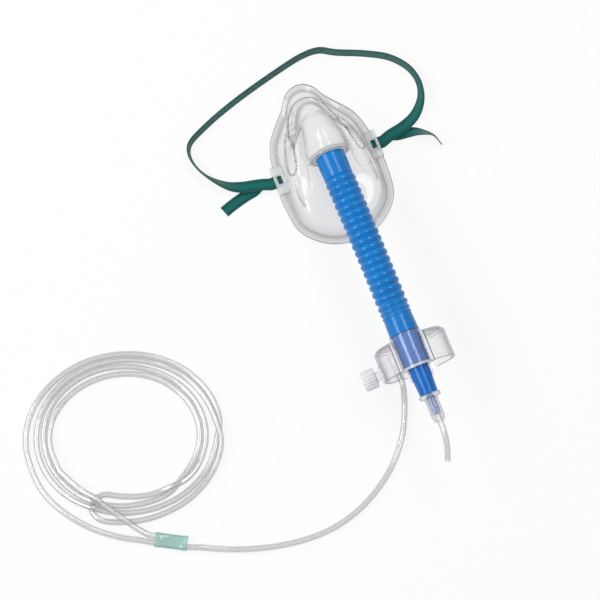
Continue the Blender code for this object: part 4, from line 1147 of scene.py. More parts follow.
# The mask's rim as (share of the length from the nose, share of the half width)
RIM_OUTLINE = (
    *((0.000, 0.000), (0.012, 0.150), (0.047, 0.290), (0.110, 0.425), (0.175, 0.610)),
    *((0.270, 0.825), (0.400, 0.940), (0.555, 1.000), (0.680, 0.995), (0.810, 0.930)),
    *((0.905, 0.715), (0.970, 0.400), (1.000, 0.000)),
)

# Lines on the mask's right half in millimetres from the port, which the left half mirrors
RIDGE_ARCH = ((23.5, 33), (22.5, 39), (20.5, 46), (17, 54), (11.5, 60.5), (5, 64.3), (0, 65.2))
VENT_LOOP = (
    *((26, 42), (30, 34), (34, 23), (37, 11), (37.5, 4), (35, 0.5)),
    *((31, 4), (28, 13), (26, 24), (25, 34), (26, 42)),
)
CHEEK_GROOVE = ((35.5, -1), (36.8, -9), (37.5, -18), (37, -26), (36, -31))
NUBS = ((24.5, 51.5), (26.5, 48.5))

# What stands proud as (line, height, reach), and round the port as (number of the control ring, height)
RELIEF_LINES = ((RIDGE_ARCH, 1.4, 1.2), (VENT_LOOP, 0.45, 1.0), (CHEEK_GROOVE, -0.8, 1.2))
PORT_RIDGES = ((5.80, 1.1), (5.45, 0.5))

# Painted shade lines as (line, distance beside it, share, reach), and painted shade along the rim as (inset,
# share, reach)
PAINTED_SHADE_LINES = (
    (RIDGE_ARCH, -1.7, 0.55, 0.9),
    (RIDGE_ARCH, 1.6, 0.25, 0.5),
    (VENT_LOOP, 0, 0.50, 0.6),
    (CHEEK_GROOVE, 0, 0.40, 0.7),
)
RIM_PAINTED_SHADE = ((0.1, 0.9, 0.32), (2.5, 0.14, 0.35), (4.7, 0.14, 0.35), (6.6, 0.42, 0.4))

# The head band as (x, y from the port, height, twist in degrees)
HEAD_LOOP = (
    *((-84, 11.5, 4.6, 14), (-96, 18.5, 4.4, 42), (-108, 31, 5.3, 68), (-115, 44, 5.5, 75)),
    *((-117, 57, 5.5, 75), (-112, 67.5, 5.5, 75), (-96, 76, 5.5, 75), (-73, 85, 5.5, 75)),
    *((-44, 94, 5.5, 75), (-7, 103.5, 5.5, 75), (16, 108, 5.5, 75), (33, 107.5, 5.5, 75)),
    *((48, 99.5, 5.5, 75), (72, 89, 5.5, 75), (92, 77.5, 5.5, 75), (105, 62.5, 5.5, 75)),
    *((109.5, 48, 5.5, 73), (108, 35, 5.2, 64), (102.5, 24.5, 4.5, 46), (93, 15.5, 4.1, 26)),
    (80, 9.8, 4.6, 10),
)
LEFT_TAIL = (
    *((-106, -4.4, 0.5, 0), (-98, -1.6, 0.5, 0), (-88, 1.2, 0.5, 0)),
    *((-80, 2.9, 1.2, 0), (-73, 3.8, 2.8, 0)),
)
RIGHT_TAIL = (
    *((73, 5, 2.8, 0), (83, 3.5, 2.2, -18), (93, -0.5, 4.2, -45), (103, -8, 5.5, -70), (107, -19, 5.8, -80)),
)


@dataclass(frozen=True)
class HoseLine:
    """Middle line of the hose: level at the hood, bending down evenly to the mask's port."""

    start: Vector
    end_height: float = 46.5 * MM
    level: float = 31 * MM
    rings: int = 18
    pitch: float = 6.95 * MM
    upper_cuff: float = 24 * MM

    @property
    def bend(self) -> float:
        """Length of the bending stretch."""
        return self.rings * self.pitch

    @property
    def length(self) -> float:
        """Whole length of the line."""
        return self.level + self.bend + self.upper_cuff

    @property
    def angle(self) -> float:
        """Downward angle at the mask."""
        return (self.start.z - self.end_height) / (self.bend / 2 + self.upper_cuff)

    def turn_at(self, along: float) -> float:
        """Gives the downward angle at a distance from the hood."""
        return self.angle * min(max((along - self.level) / self.bend, 0.0), 1.0)

    def point(self, along: float) -> Vector:
        """Finds the place at a distance from the hood."""
        turn, radius = self.turn_at(along), self.bend / self.angle
        past = max(along - self.level - self.bend, 0.0)
        y = min(along, self.level) + radius * math.sin(turn) + past * math.cos(turn)
        return self.start + Vector((0, y, -radius * (1 - math.cos(turn)) - past * math.sin(turn)))

    def ring(self, along: float, radius: float, segments: int) -> list[Vector]:
        """Puts a circle of points round the line."""
        turn = self.turn_at(along)
        across = Vector((0, math.sin(turn), math.cos(turn)))
        centre = self.point(along)
        turns = [2 * math.pi * k / segments for k in range(segments)]
        return [centre + radius * (math.cos(a) * Vector((1, 0, 0)) + math.sin(a) * across) for a in turns]


@dataclass(frozen=True)
class Hose:
    """The blue corrugated hose with a plain cuff at each end."""

    line: HoseLine
    finishes: Finishes
    crest: float = 14.4 * MM
    root: float = 12.6 * MM
    wall: float = 1.2 * MM
    cuff: float = 13.9 * MM
    cuff_bore: float = 11.0 * MM
    lower_cuff: float = 17 * MM
    bore_depth: float = 15 * MM
    segments: int = 80
    steps: int = 14
    fullness: float = 0.55

    def plain(self) -> list[tuple[float, float]]:
        """Gives the lower cuff and the two low rings beside it, as (distance, radius)."""
        start, stretch = self.lower_cuff, self.line.level - self.lower_cuff
        cuff, root, crest = self.cuff, self.root, self.crest
        knots = [(0, cuff - 0.7 * MM), (0.25 * MM, cuff - 0.2 * MM), (0.8 * MM, cuff)]
        knots += [(0.5 * start, cuff - 0.2 * MM), (start - 2.5 * MM, cuff - 0.45 * MM)]
        knots += [(start - 0.8 * MM, cuff - 0.6 * MM), (start + 0.4 * MM, crest - 0.5 * MM)]
        low_rings = [(0.20, root + 0.5 * MM), (0.35, crest - 0.2 * MM), (0.52, root + 0.4 * MM)]
        low_rings += [(0.74, crest), (0.93, root + 0.2 * MM)]
        knots += [(start + share * stretch, radius) for share, radius in low_rings]
        return smooth_points(knots, 6)

    def outside(self) -> list[tuple[float, float]]:
        """Gives the outer profile from the hood to the mask, as (distance, radius)."""
        profile, cuff, steps = self.plain(), self.cuff, self.steps
        for step in range(steps * self.line.rings):
            share = 0.5 - 0.5 * math.cos(2 * math.pi * step / steps)
            radius = mix(self.root, self.crest, share**self.fullness)
            profile.append((self.line.level + self.line.pitch * step / steps, radius))
        start, end = self.line.level + self.line.bend, self.line.length
        knots = [(start, self.root), (start + 1.2 * MM, cuff - 0.5 * MM), (start + 2.4 * MM, cuff - 0.3 * MM)]
        knots += [(start + 12 * MM, cuff - 0.1 * MM), (end - 1 * MM, cuff)]
        knots += [(end - 0.3 * MM, cuff - 0.15 * MM), (end, cuff - 0.6 * MM)]
        return [*profile, *smooth_points(knots, 5)]

    def build(self) -> None:
        """Makes the hose as one closed wall."""
        line, bore = self.line, self.root - self.wall
        start, pieces = line.level + line.bend, 40
        inner = [(line.length, self.cuff_bore), (line.length - self.bore_depth, self.cuff_bore)]
        inner += [(start - line.bend * step / pieces, bore) for step in range(pieces)]
        inner += [(line.level, bore), (self.bore_depth, self.cuff_bore), (0, self.cuff_bore)]
        rings = [line.ring(along, radius, self.segments) for along, radius in [*self.outside(), *inner]]
        hose = lofted("blue_hose", rings, joined=True)
        seat(hose, Body.SET, Slot.HOSE, self.finishes.hose, "corrugated_hose")


@dataclass(frozen=True)
class Mask:
    """The clear soft shell: flange, dome with its port, vents, ridges and a strap lug on each side."""

    layout: Layout
    line: HoseLine
    finishes: Finishes
    length: float = 158 * MM
    width: float = 104 * MM
    wall: float = 1.5 * MM
    flange: float = 6.5 * MM
    edge_roll: float = 1.4 * MM
    lift: float = 9 * MM
    lift_reach: float = 34 * MM
    chin_depth: float = 24 * MM
    cheek_depth: float = 28 * MM
    beak: float = 21 * MM
    dome_rise: float = 4 * MM
    port_share: float = 0.522
    face_radius: float = 18 * MM
    face_margin: float = 2.5 * MM
    spigot_radius: float = SPIGOT_RADIUS
    spigot_length: float = SPIGOT_LENGTH
    vent_top: tuple[float, float] = (22.0 * MM, 33.97 * MM)
    vent_bottom: tuple[float, float] = (33.5 * MM, -18.0 * MM)
    vent_width: float = 9 * MM
    vent_depth: float = 2.0 * MM
    vent_holes: int = 5
    vent_hole_radius: float = 1.3 * MM
    lug_from_port: float = 3.5 * MM
    lug_length: float = 27 * MM
    lug_width: float = 10.6 * MM
    lug_wall: float = 1.6 * MM
    lug_height: float = 9.6 * MM
    lug_edge: float = 52.47 * MM
    lug_bar: float = 1.6 * MM
    lug_bar_inset: float = 5.2 * MM
    lug_window: tuple[float, float] = (4.2 * MM, 7.8 * MM)
    lug_slot: float = 13 * MM
    strap_half_loop: float = 1.55 * MM
    nub_rise: float = 1.3 * MM
    nub_radius: float = 1.4 * MM
    columns: int = 480
    steps: int = 18

    @property
    def port_axis(self) -> Vector:
        """Direction out of the port, toward the hose."""
        return Vector((0, -math.cos(self.line.angle), math.sin(self.line.angle)))

    @property
    def port(self) -> Vector:
        """Middle of the port's face."""
        return self.line.point(self.line.length) - self.port_axis * FIT_GAP

    @property
    def angles(self) -> np.ndarray:
        """Angles of the columns, from the nose round by the left cheek."""
        return math.pi / 2 + 2 * math.pi * np.arange(self.columns) / self.columns

    @property
    def middle(self) -> float:
        """Distance of the middle of the rim from the port, toward the nose."""
        return (self.port_share - 0.58) * self.length

    def radii(self) -> np.ndarray:
        """Finds the rim's distance from its middle for each column."""
        outline = np.array(smooth_points(RIM_OUTLINE, 24))
        x = outline[:, 1] * self.width / 2
        y = (self.port_share - outline[:, 0]) * self.length - self.middle
        turn, reach = np.arctan2(y, x), np.hypot(x, y)
        order = np.argsort(turn)
        mirrored = np.arctan2(np.sin(self.angles), np.abs(np.cos(self.angles)))
        return np.interp(mirrored, turn[order], reach[order])

    def by_side(self, nose: float, cheek: float, chin: float, power: float = 2) -> np.ndarray:
        """Changes a value smoothly from the nose past the cheeks to the chin."""
        up = np.sin(self.angles)
        return np.where(up >= 0, mix(cheek, nose, up**2), mix(cheek, chin, np.abs(up) ** power))

    def ring(self, x: np.ndarray, y: np.ndarray, z: np.ndarray) -> np.ndarray:
        """Puts a ring in the frame, with y counted from the port and z from the floor."""
        return np.stack([self.port.x + x, self.port.y + y, z], axis=1)

    def rim_ring(self, inset: Sequence[float], height: Sequence[float], lifted: float = 1.0) -> np.ndarray:
        """Makes a ring set in from the rim, with its inset and height as (nose, cheek, chin)."""
        radii, turn = self.radii(), self.angles
        behind = self.middle + radii * np.sin(turn) - self.port_share * self.length
        lift = lifted * self.lift * ease((behind + self.lift_reach) / self.lift_reach) ** 1.5
        reach, rise = radii - self.by_side(*inset), self.by_side(*height) + lift
        return self.ring(reach * np.cos(turn), self.middle + reach * np.sin(turn), rise)

    def level_ring(self, inset: float, height: float) -> np.ndarray:
        """Makes a ring with one inset and one height all round."""
        return self.rim_ring((inset,) * 3, (height,) * 3)

    def dome_ring(
        self, half: float, nose: float, chin: float, height: Sequence[float], power: float = 2
    ) -> np.ndarray:
        """Makes an oval ring round the dome, from distances nose and chin past the port."""
        middle, reach = (nose + chin) / 2, (nose - chin) / 2
        x, y = half * np.cos(self.angles), middle + reach * np.sin(self.angles)
        return self.ring(x, y, self.by_side(*height, power))

    def port_ring(self, radius: float, out: float, chin_step: float = 0.0) -> np.ndarray:
        """Makes a circle square to the port's axis, at a distance out from its face."""
        across = np.array((0, math.sin(self.line.angle), math.cos(self.line.angle)))
        centre = np.array(self.port + self.port_axis * out)
        reach = (radius + self.by_side(0, 0, chin_step))[:, None]
        turn = self.angles[:, None]
        return centre + reach * (np.cos(turn) * np.array((1.0, 0, 0)) + np.sin(turn) * across)

    def body(self) -> np.ndarray:
        """Lofts the outer skin from the foot of the wall to the edge of the port's face."""
        crest, under = self.port.z + self.face_radius, self.port.z - self.face_radius
        flange, rim, margin = self.flange, self.face_radius + self.face_margin, self.face_margin
        shoulder = (0.1635 * self.width, 0.101 * self.length)
        wide, narrow = (
            (share * self.width / 2, nose * self.length, -below * self.length)
            for share, nose, below in ((0.519, 0.278, 0.241), (0.433, 0.2215, 0.0886))
        )
        foot = (flange + 1 * MM, flange + 1.4 * MM, flange + 1.2 * MM)
        rise = (self.beak, flange + 4 * MM, flange + 4 * MM)
        cheek, chin = self.cheek_depth, self.chin_depth
        rows = [
            self.rim_ring(foot, (4 * MM, 5 * MM, 4.4 * MM)),
            self.rim_ring(rise, (0.27 * crest, 0.5 * cheek, 0.55 * chin), 0.4),
            self.rim_ring((self.beak + 5 * MM, *shoulder), (0.62 * crest, 0.86 * cheek, 0.93 * chin), 0.0),
            self.dome_ring(*wide, (0.80 * crest, 1.08 * cheek, chin + self.wall)),
            self.dome_ring(*narrow, (0.94 * crest, 1.45 * cheek, under - self.wall)),
            self.dome_ring(rim, rim - MM / 2, -2 * margin, (crest + self.dome_rise, self.port.z, under), 1),
            self.port_ring(self.face_radius, 0),
        ]
        flat = np.array(rows).reshape(len(rows), -1)
        return np.array(smooth_points(flat, self.steps)).reshape(-1, self.columns, 3)

    def normals(self, rows: np.ndarray) -> np.ndarray:
        """Finds the skin's normals, which point out of the mask."""
        around = np.roll(rows, -1, axis=1) - np.roll(rows, 1, axis=1)
        found = np.cross(around, np.gradient(rows, axis=0))
        return found / np.maximum(np.linalg.norm(found, axis=2), 1e-12)[:, :, None]

    def vent_sink(self, x: np.ndarray, y: np.ndarray) -> np.ndarray:
        """Says how far the skin is pushed in, from plan distances to the port."""
        top, bottom = np.array(self.vent_top), np.array(self.vent_bottom)
        run = bottom - top
        away = np.stack([np.abs(x), y], axis=-1) - top
        share = np.clip(away @ run / (run @ run), 0, 1)
        distance = np.linalg.norm(away - share[..., None] * run, axis=-1)
        return self.vent_depth * ease(2.6 - 2.6 * distance / (0.92 * self.vent_width))

    def gap_to(self, route: Route, x: np.ndarray, y: np.ndarray, offset: float = 0.0) -> np.ndarray:
        """Finds the plan distance to a line that lies on both halves of the mask.

        Args:
            route: The line, in millimetres from the port.
            x: Plan distance from the port, to the right.
            y: Plan distance from the port, to the nose.
            offset: How far beside the line to measure from, in millimetres.

        Returns:
            The distances in metres.
        """
        line = np.array(smooth_points(route, 16)) * MM
        if offset:
            run = np.gradient(line, axis=0)
            run /= np.linalg.norm(run, axis=1)[:, None]
            line += offset * MM * np.stack([-run[:, 1], run[:, 0]], axis=1)
        gap = np.full_like(x, 1.0)
        for place in line:
            gap = np.minimum(gap, np.hypot(np.abs(x) - place[0], y - place[1]))
        return gap

    def relief(self, x: np.ndarray, y: np.ndarray, row: np.ndarray) -> np.ndarray:
        """Says how far fine ridges and grooves stand proud.

        Args:
            x: Plan distance from the port, to the right.
            y: Plan distance from the port, to the nose.
            row: Number of the control ring, from 0 at the foot to 6 at the port.

        Returns:
            The height in metres.
        """
        height = np.zeros_like(x)
        for route, rise, reach in RELIEF_LINES:
            height += rise * MM * bell(self.gap_to(route, x, y), reach * MM)
        for place in NUBS:
            gap = np.hypot(np.abs(x) - place[0] * MM, y - place[1] * MM)
            height += self.nub_rise * ease(1.6 - gap / self.nub_radius)
        for number, rise in PORT_RIDGES:
            height += rise * MM * bell(row - number, 0.08)
        return height

    def painted_shade_shares(self, places: np.ndarray) -> np.ndarray:
        """Gives the painted shade: dark lines along its edge, beside its ridges and round its port, where the
        plastic turns sharply.

        Args:
            places: Places of the finished mesh, one row each.

        Returns:
            A share from 0 to 1 for each place.
        """
        x, y, z = places[:, 0] - self.port.x, places[:, 1] - self.port.y, places[:, 2]
        angles, turn = self.angles % (2 * math.pi), np.arctan2(y - self.middle, x) % (2 * math.pi)
        order = np.argsort(angles)
        inset = np.interp(turn, angles[order], self.radii()[order]) - np.hypot(x, y - self.middle)
        found = np.zeros(len(places))
        for place, share, reach in RIM_PAINTED_SHADE:
            found = np.maximum(found, share * bell(inset - place * MM, reach * MM))
        for route, offset, share, reach in PAINTED_SHADE_LINES:
            line = share * bell(self.gap_to(route, x, y, offset), reach * MM)
            found = np.maximum(found, line * (inset > self.flange))
        axis = np.array(self.port_axis)
        from_port = places - np.array(self.port)
        out = from_port @ axis
        beyond = np.linalg.norm(from_port - out[:, None] * axis, axis=1) - self.face_radius
        # Painted shade round the port's face and behind its collar
        rim = bell(beyond, 0.5 * MM) * ease(1 - np.abs(out) / (1.5 * MM))
        collar = bell(out + 1.9 * MM, 0.5 * MM) * ease(beyond / (2 * MM) + 1)
        near = ease((5 * MM - beyond) / (2 * MM)) * (z > self.port.z - self.face_radius / 2)
        return np.clip(np.maximum(found, np.maximum(0.55 * rim, 0.6 * collar * near)), 0, 1)

    def rings(self) -> list[np.ndarray]:
        """Lists all the rings of the shell, down the outside and up the inside."""
        wall, flange, body = self.wall, self.flange, self.body()
        row = np.arange(len(body))[:, None] / self.steps + np.zeros(self.columns)
        x, y = body[:, :, 0] - self.port.x, body[:, :, 1] - self.port.y
        normals = self.normals(body)
        inside_face = ease((row - 0.8) / 0.4) * ease((5.0 - row) / 0.4)
        skin = body - normals * (self.vent_sink(x, y) * inside_face)[:, :, None]
        fade = ease(row / 0.3) * ease((6.0 - row) / 0.15)
        outer = skin + normals * (self.relief(x, y, row) * fade)[:, :, None]
        inner = (skin - normals * wall)[: -self.steps][::-4]
        top = wall + self.edge_roll
        edge = [(0.3, 0), (0, 0.4 * MM), (0, 0.7 * top), (0.12, 0.92 * top), (0.45, top), (0.85, top)]
        edge += [(1.15, 0.92 * top), (1.35, 0.75 * top), (1.6, wall + 0.05 * MM)]
        ridges = [(1.9, 0), (2.2, 0), (2.4, 0.3), (2.7, 0.3), (2.9, 0)]
        ridges += [(4.3, 0), (4.5, 0.3), (4.8, 0.3), (5.0, 0), (6.1, 0)]
        found = [self.level_ring(inset * MM, height) for inset, height in edge]
        found += [self.level_ring(inset * MM, wall + rise * MM) for inset, rise in ridges]
        found.append(self.level_ring(flange + 0.15 * MM, wall + 0.25 * MM))
        found.append(self.level_ring(flange + 0.5 * MM, 2.6 * MM))
        found += list(outer)
        spigot, end, bore = self.spigot_radius, self.spigot_length, self.spigot_radius - wall
        outside = ((spigot + 1 * MM, 0), (spigot, 0.4 * MM), (spigot, end - 0.5 * MM), (bore + MM, end))
        found += [self.port_ring(radius, out) for radius, out in outside]
        found += [self.port_ring(bore, end), self.port_ring(bore, -wall)]
        found.append(self.port_ring(self.face_radius - wall, -wall, chin_step=2 * wall))
        under = [self.level_ring(inset, 0) for inset in (flange, 1.2 * MM, 0.7 * MM)]
        return [*found, *inner, *under]

    def lug(self, half: Half) -> Piece:
        """Makes one lug: an outer wall with a slot, and a top with a window and a bar for the strap.

        Args:
            half: Side of the mask.

        Returns:
            The lug, to be joined to the shell.
        """
        side, out, wall = half.value, self.lug_edge, self.lug_wall
        middle = self.port.y + self.lug_from_port
        near, far = middle - self.lug_length / 2, middle + self.lug_length / 2
        bar_x = out - self.lug_bar_inset
        bar_z = (self.wall + self.lug_height - wall) / 2 + 0.4 * MM
        reach = self.strap_half_loop + 0.45 * MM + FIT_GAP
        foot, low = out - 1.2 * MM - self.flange, self.wall / 2
        back, top = out - self.lug_width, self.lug_height
        outline = softened([(foot, low), (out, low), (out, top), (back, top), (back, top / 2)], 1.2 * MM)
        rings = []
        for y, shrink in ((near, 0.93), (near + 0.5 * MM, 1), (far - 0.5 * MM, 1), (far, 0.93)):
            heart = Vector(((foot + out) / 2, 0, top / 2))
            ring = [heart + (Vector((x, 0, z)) - heart) * shrink for x, z in outline]
            rings.append([Vector((self.port.x + side * p.x, y, p.z)) for p in ring])
        lug = lofted(f"{half.name.lower()} lug", rings, joined=False)

        def box(reach: Sequence[float], along: Sequence[float], height: Sequence[float]) -> Piece:
            """Adds a block, with its reach counted from the port toward this side."""
            return block([self.port.x + side * x for x in reach], along, height)

        half_window, half_slot, half_bar = self.lug_window[0] / 2, self.lug_slot / 2, self.lug_bar / 2
        seen = (middle - self.lug_window[1] / 2, middle + self.lug_window[1] / 2)
        cut(lug, box((out - 2 * self.lug_width, out - wall), (near + wall, far - wall), (-MM, top - wall)))
        slot = (middle - half_slot, middle + half_slot)
        cut(lug, box((out - 2 * wall, out + wall), slot, (bar_z - reach, bar_z + reach)))
        cut(lug, box((bar_x - half_window, bar_x + half_window), seen, (bar_z, top + wall)))
        ends = [Vector((self.port.x + side * bar_x, y, bar_z)) for y in (near + wall / 2, far - wall / 2)]
        join(lug, rod(half_bar, *ends, segments=16))
        return lug

    def build(self) -> None:
        """Makes the shell, cuts its vents and joins its lugs."""
        mask = lofted("clear_mask", self.rings(), joined=True)
        top, bottom = (Vector((*place, 0)) for place in (self.vent_top, self.vent_bottom))
        for half in Half:
            join(mask, self.lug(half))
            for hole in range(self.vent_holes):
                place = top.lerp(bottom, (hole + 0.5) / self.vent_holes)
                x, y = self.port.x + half.value * place.x, self.port.y + place.y
                low = Vector((x, y, 0.4 * self.cheek_depth))
                high = low + Vector((0, 0, 1.6 * self.cheek_depth))
                cut(mask, rod(self.vent_hole_radius, low, high, segments=20))
        smooth_shade(mask, 32)
        seat(mask, Body.SET, Slot.SOFT_CLEAR, self.finishes.soft, "mask_shell")
        # Painted shade: dark lines along the edge, beside the ridges and round the port, stored on the points
        places = np.zeros(3 * len(mask.data.vertices))
        mask.data.vertices.foreach_get("co", places)
        fold = mask.data.attributes.new(PAINTED_SHADE_ATTRIBUTE, "FLOAT", "POINT")
        fold.data.foreach_set("value", self.painted_shade_shares(places.reshape(-1, 3)))
        mask.data.materials.append(self.finishes.lug)
        for face in mask.data.polygons:
            x, y = abs(face.center.x - self.port.x), face.center.y - self.port.y - self.lug_from_port
            if x > self.lug_edge - self.lug_width - FIT_GAP and abs(y) < self.lug_length / 2 + FIT_GAP:
                face.material_index = int(face.center.z > self.wall + 0.6 * MM)


@dataclass(frozen=True)
class Band:
    """The elastic head band: looped round both lugs, sewn back on itself, with a free tail at each end."""

    mask: Mask
    finishes: Finishes
    width: float = 11 * MM
    thickness: float = 0.9 * MM
    patch: float = 13 * MM
    skew: float = 3 * MM
    stitch_rows: tuple[float, float] = (5.4 * MM, 11.6 * MM)
    stitch_size: tuple[float, float, float] = (0.32 * MM, 0.72 * MM, 0.30 * MM)
    stitch_pitch: float = 1.65 * MM
    row_stitches: int = 6

    def bar_height(self) -> float:
        """Gives the height of a lug's bar."""
        return (self.mask.wall + self.mask.lug_height - self.mask.lug_wall) / 2 + 0.4 * MM

    def loop(self, side: int) -> list[tuple[float, ...]]:
        """Gives the band round one lug's bar, from its lower layer to its upper one."""
        y, height, half = self.mask.lug_from_port, self.bar_height(), self.mask.strap_half_loop
        outside = self.mask.lug_edge + 1.2 * MM
        bar = self.mask.lug_edge - self.mask.lug_bar_inset - self.mask.lug_bar / 2
        turns = [math.pi * k / 8 for k in range(9)]
        around = [(side * (bar - half * math.sin(a)), y, height - half * math.cos(a), 0.0) for a in turns]
        return [(side * outside, y, height - half, 0.0), *around, (side * outside, y, height + half, 0.0)]

    def sewn(self, side: int, layer: int) -> list[tuple[float, ...]]:
        """Gives one layer of the sewn patch beside a lug, from the lug outward; layer is -1 low or 1 high."""
        y, z = self.mask.lug_from_port, self.bar_height() + layer * (self.thickness + FIT_GAP) / 2
        near, far = self.mask.lug_edge + 4 * MM, self.mask.lug_edge + self.patch
        return [(side * near, y, z, 0.0), (side * far, y + self.skew, z, 0.0)]

    def stations(self) -> list[tuple[float, ...]]:
        """Lists the middle line as (x, y from the port, height, twist), from the left tail to the right."""

        def placed(route: Route) -> list[tuple[float, ...]]:
            """Brings millimetres to metres."""
            return [(x * MM, y * MM, z * MM, twist) for x, y, z, twist in route]

        left = [*placed(LEFT_TAIL), *self.sewn(-1, -1)[::-1], *self.loop(-1), *self.sewn(-1, 1)]
        right = [*self.sewn(1, 1)[::-1], *self.loop(1)[::-1], *self.sewn(1, -1), *placed(RIGHT_TAIL)]
        return [*left, *placed(HEAD_LOOP), *right]

    def section(self) -> list[tuple[float, float]]:
        """Gives the band's section as (share of the half width, share of the half thickness)."""
        top = [(-1 + 2 * k / 12, 0.86 if k in (0, 12) else 1.0) for k in range(13)]
        return [*top, (1.0, 0.0), *[(across, -high) for across, high in top[::-1]], (-1.0, 0.0)]

    def build(self) -> None:
        """Makes the band with its own UV map and its stitches."""
        points = smooth_points(self.stations(), 8)
        section, port = self.section(), self.mask.port
        wide, last, rings, along = Vector((0, 1, 0)), len(points) - 1, [], [0.0]
        for k, (x, y, z, twist) in enumerate(points):
            run = Vector(points[min(k + 1, last)][:3]) - Vector(points[max(k - 1, 0)][:3])
            ahead = run.normalized()
            heading = Vector((ahead.x, ahead.y, 0))
            if heading.length > 0.5:
                lean = math.radians(twist)
                left = Vector((-heading.y, heading.x, 0)).normalized()
                found = left * math.cos(lean) + Vector((0, 0, math.sin(lean)))
                wide = found if found.dot(wide) > 0 else -found
            wide = (wide - ahead * wide.dot(ahead)).normalized()
            thick = ahead.cross(wide) * self.thickness / 2
            middle = Vector((port.x + x, port.y + y, z))
            across = wide * self.width / 2
            rings.append([middle + across * a + thick * t for a, t in section])
            if k:
                along.append(along[-1] + (middle - before).length)
            before = middle

        def uv(ring: int, point: int) -> tuple[float, float]:
            """Gives the share across the band and the distance along it."""
            return 0.5 + 0.5 * section[point % len(section)][0], along[min(ring, last)]

        band = lofted("elastic_band", rings, joined=False, uv=uv)
        seat(band, Body.SET, Slot.ELASTIC, self.finishes.elastic, "head_strap")
        for half in Half:
            self.stitches(half)

    def stitches(self, half: Half) -> None:
        """Sews two rows of stitches through the patch beside one lug."""
        side, port, found = half.value, self.mask.port, []
        top = self.bar_height() + 1.5 * self.thickness + FIT_GAP / 2 - 0.55 * MM
        for row in self.stitch_rows:
            x = port.x + side * (self.mask.lug_edge + row)
            middle = self.mask.lug_from_port + self.skew * (row - 4 * MM) / (self.patch - 4 * MM)
            for k in range(self.row_stitches):
                y = port.y + middle + (k - (self.row_stitches - 1) / 2) * self.stitch_pitch
                deselect()
                place = (x, y, top)
                bpy.ops.mesh.primitive_uv_sphere_add(segments=10, ring_count=6, radius=1, location=place)
                bpy.context.object.scale = self.stitch_size
                found.append(at_origin(bpy.context.object))
        rows = choose(found[0])
        for stitch in found:
            stitch.select_set(True)
        bpy.ops.object.join()
        rows.name = f"{half.name.lower()}_stitches"
        smooth_shade(rows)
        seat(rows, Body.SET, Slot.ELASTIC, self.finishes.thread)


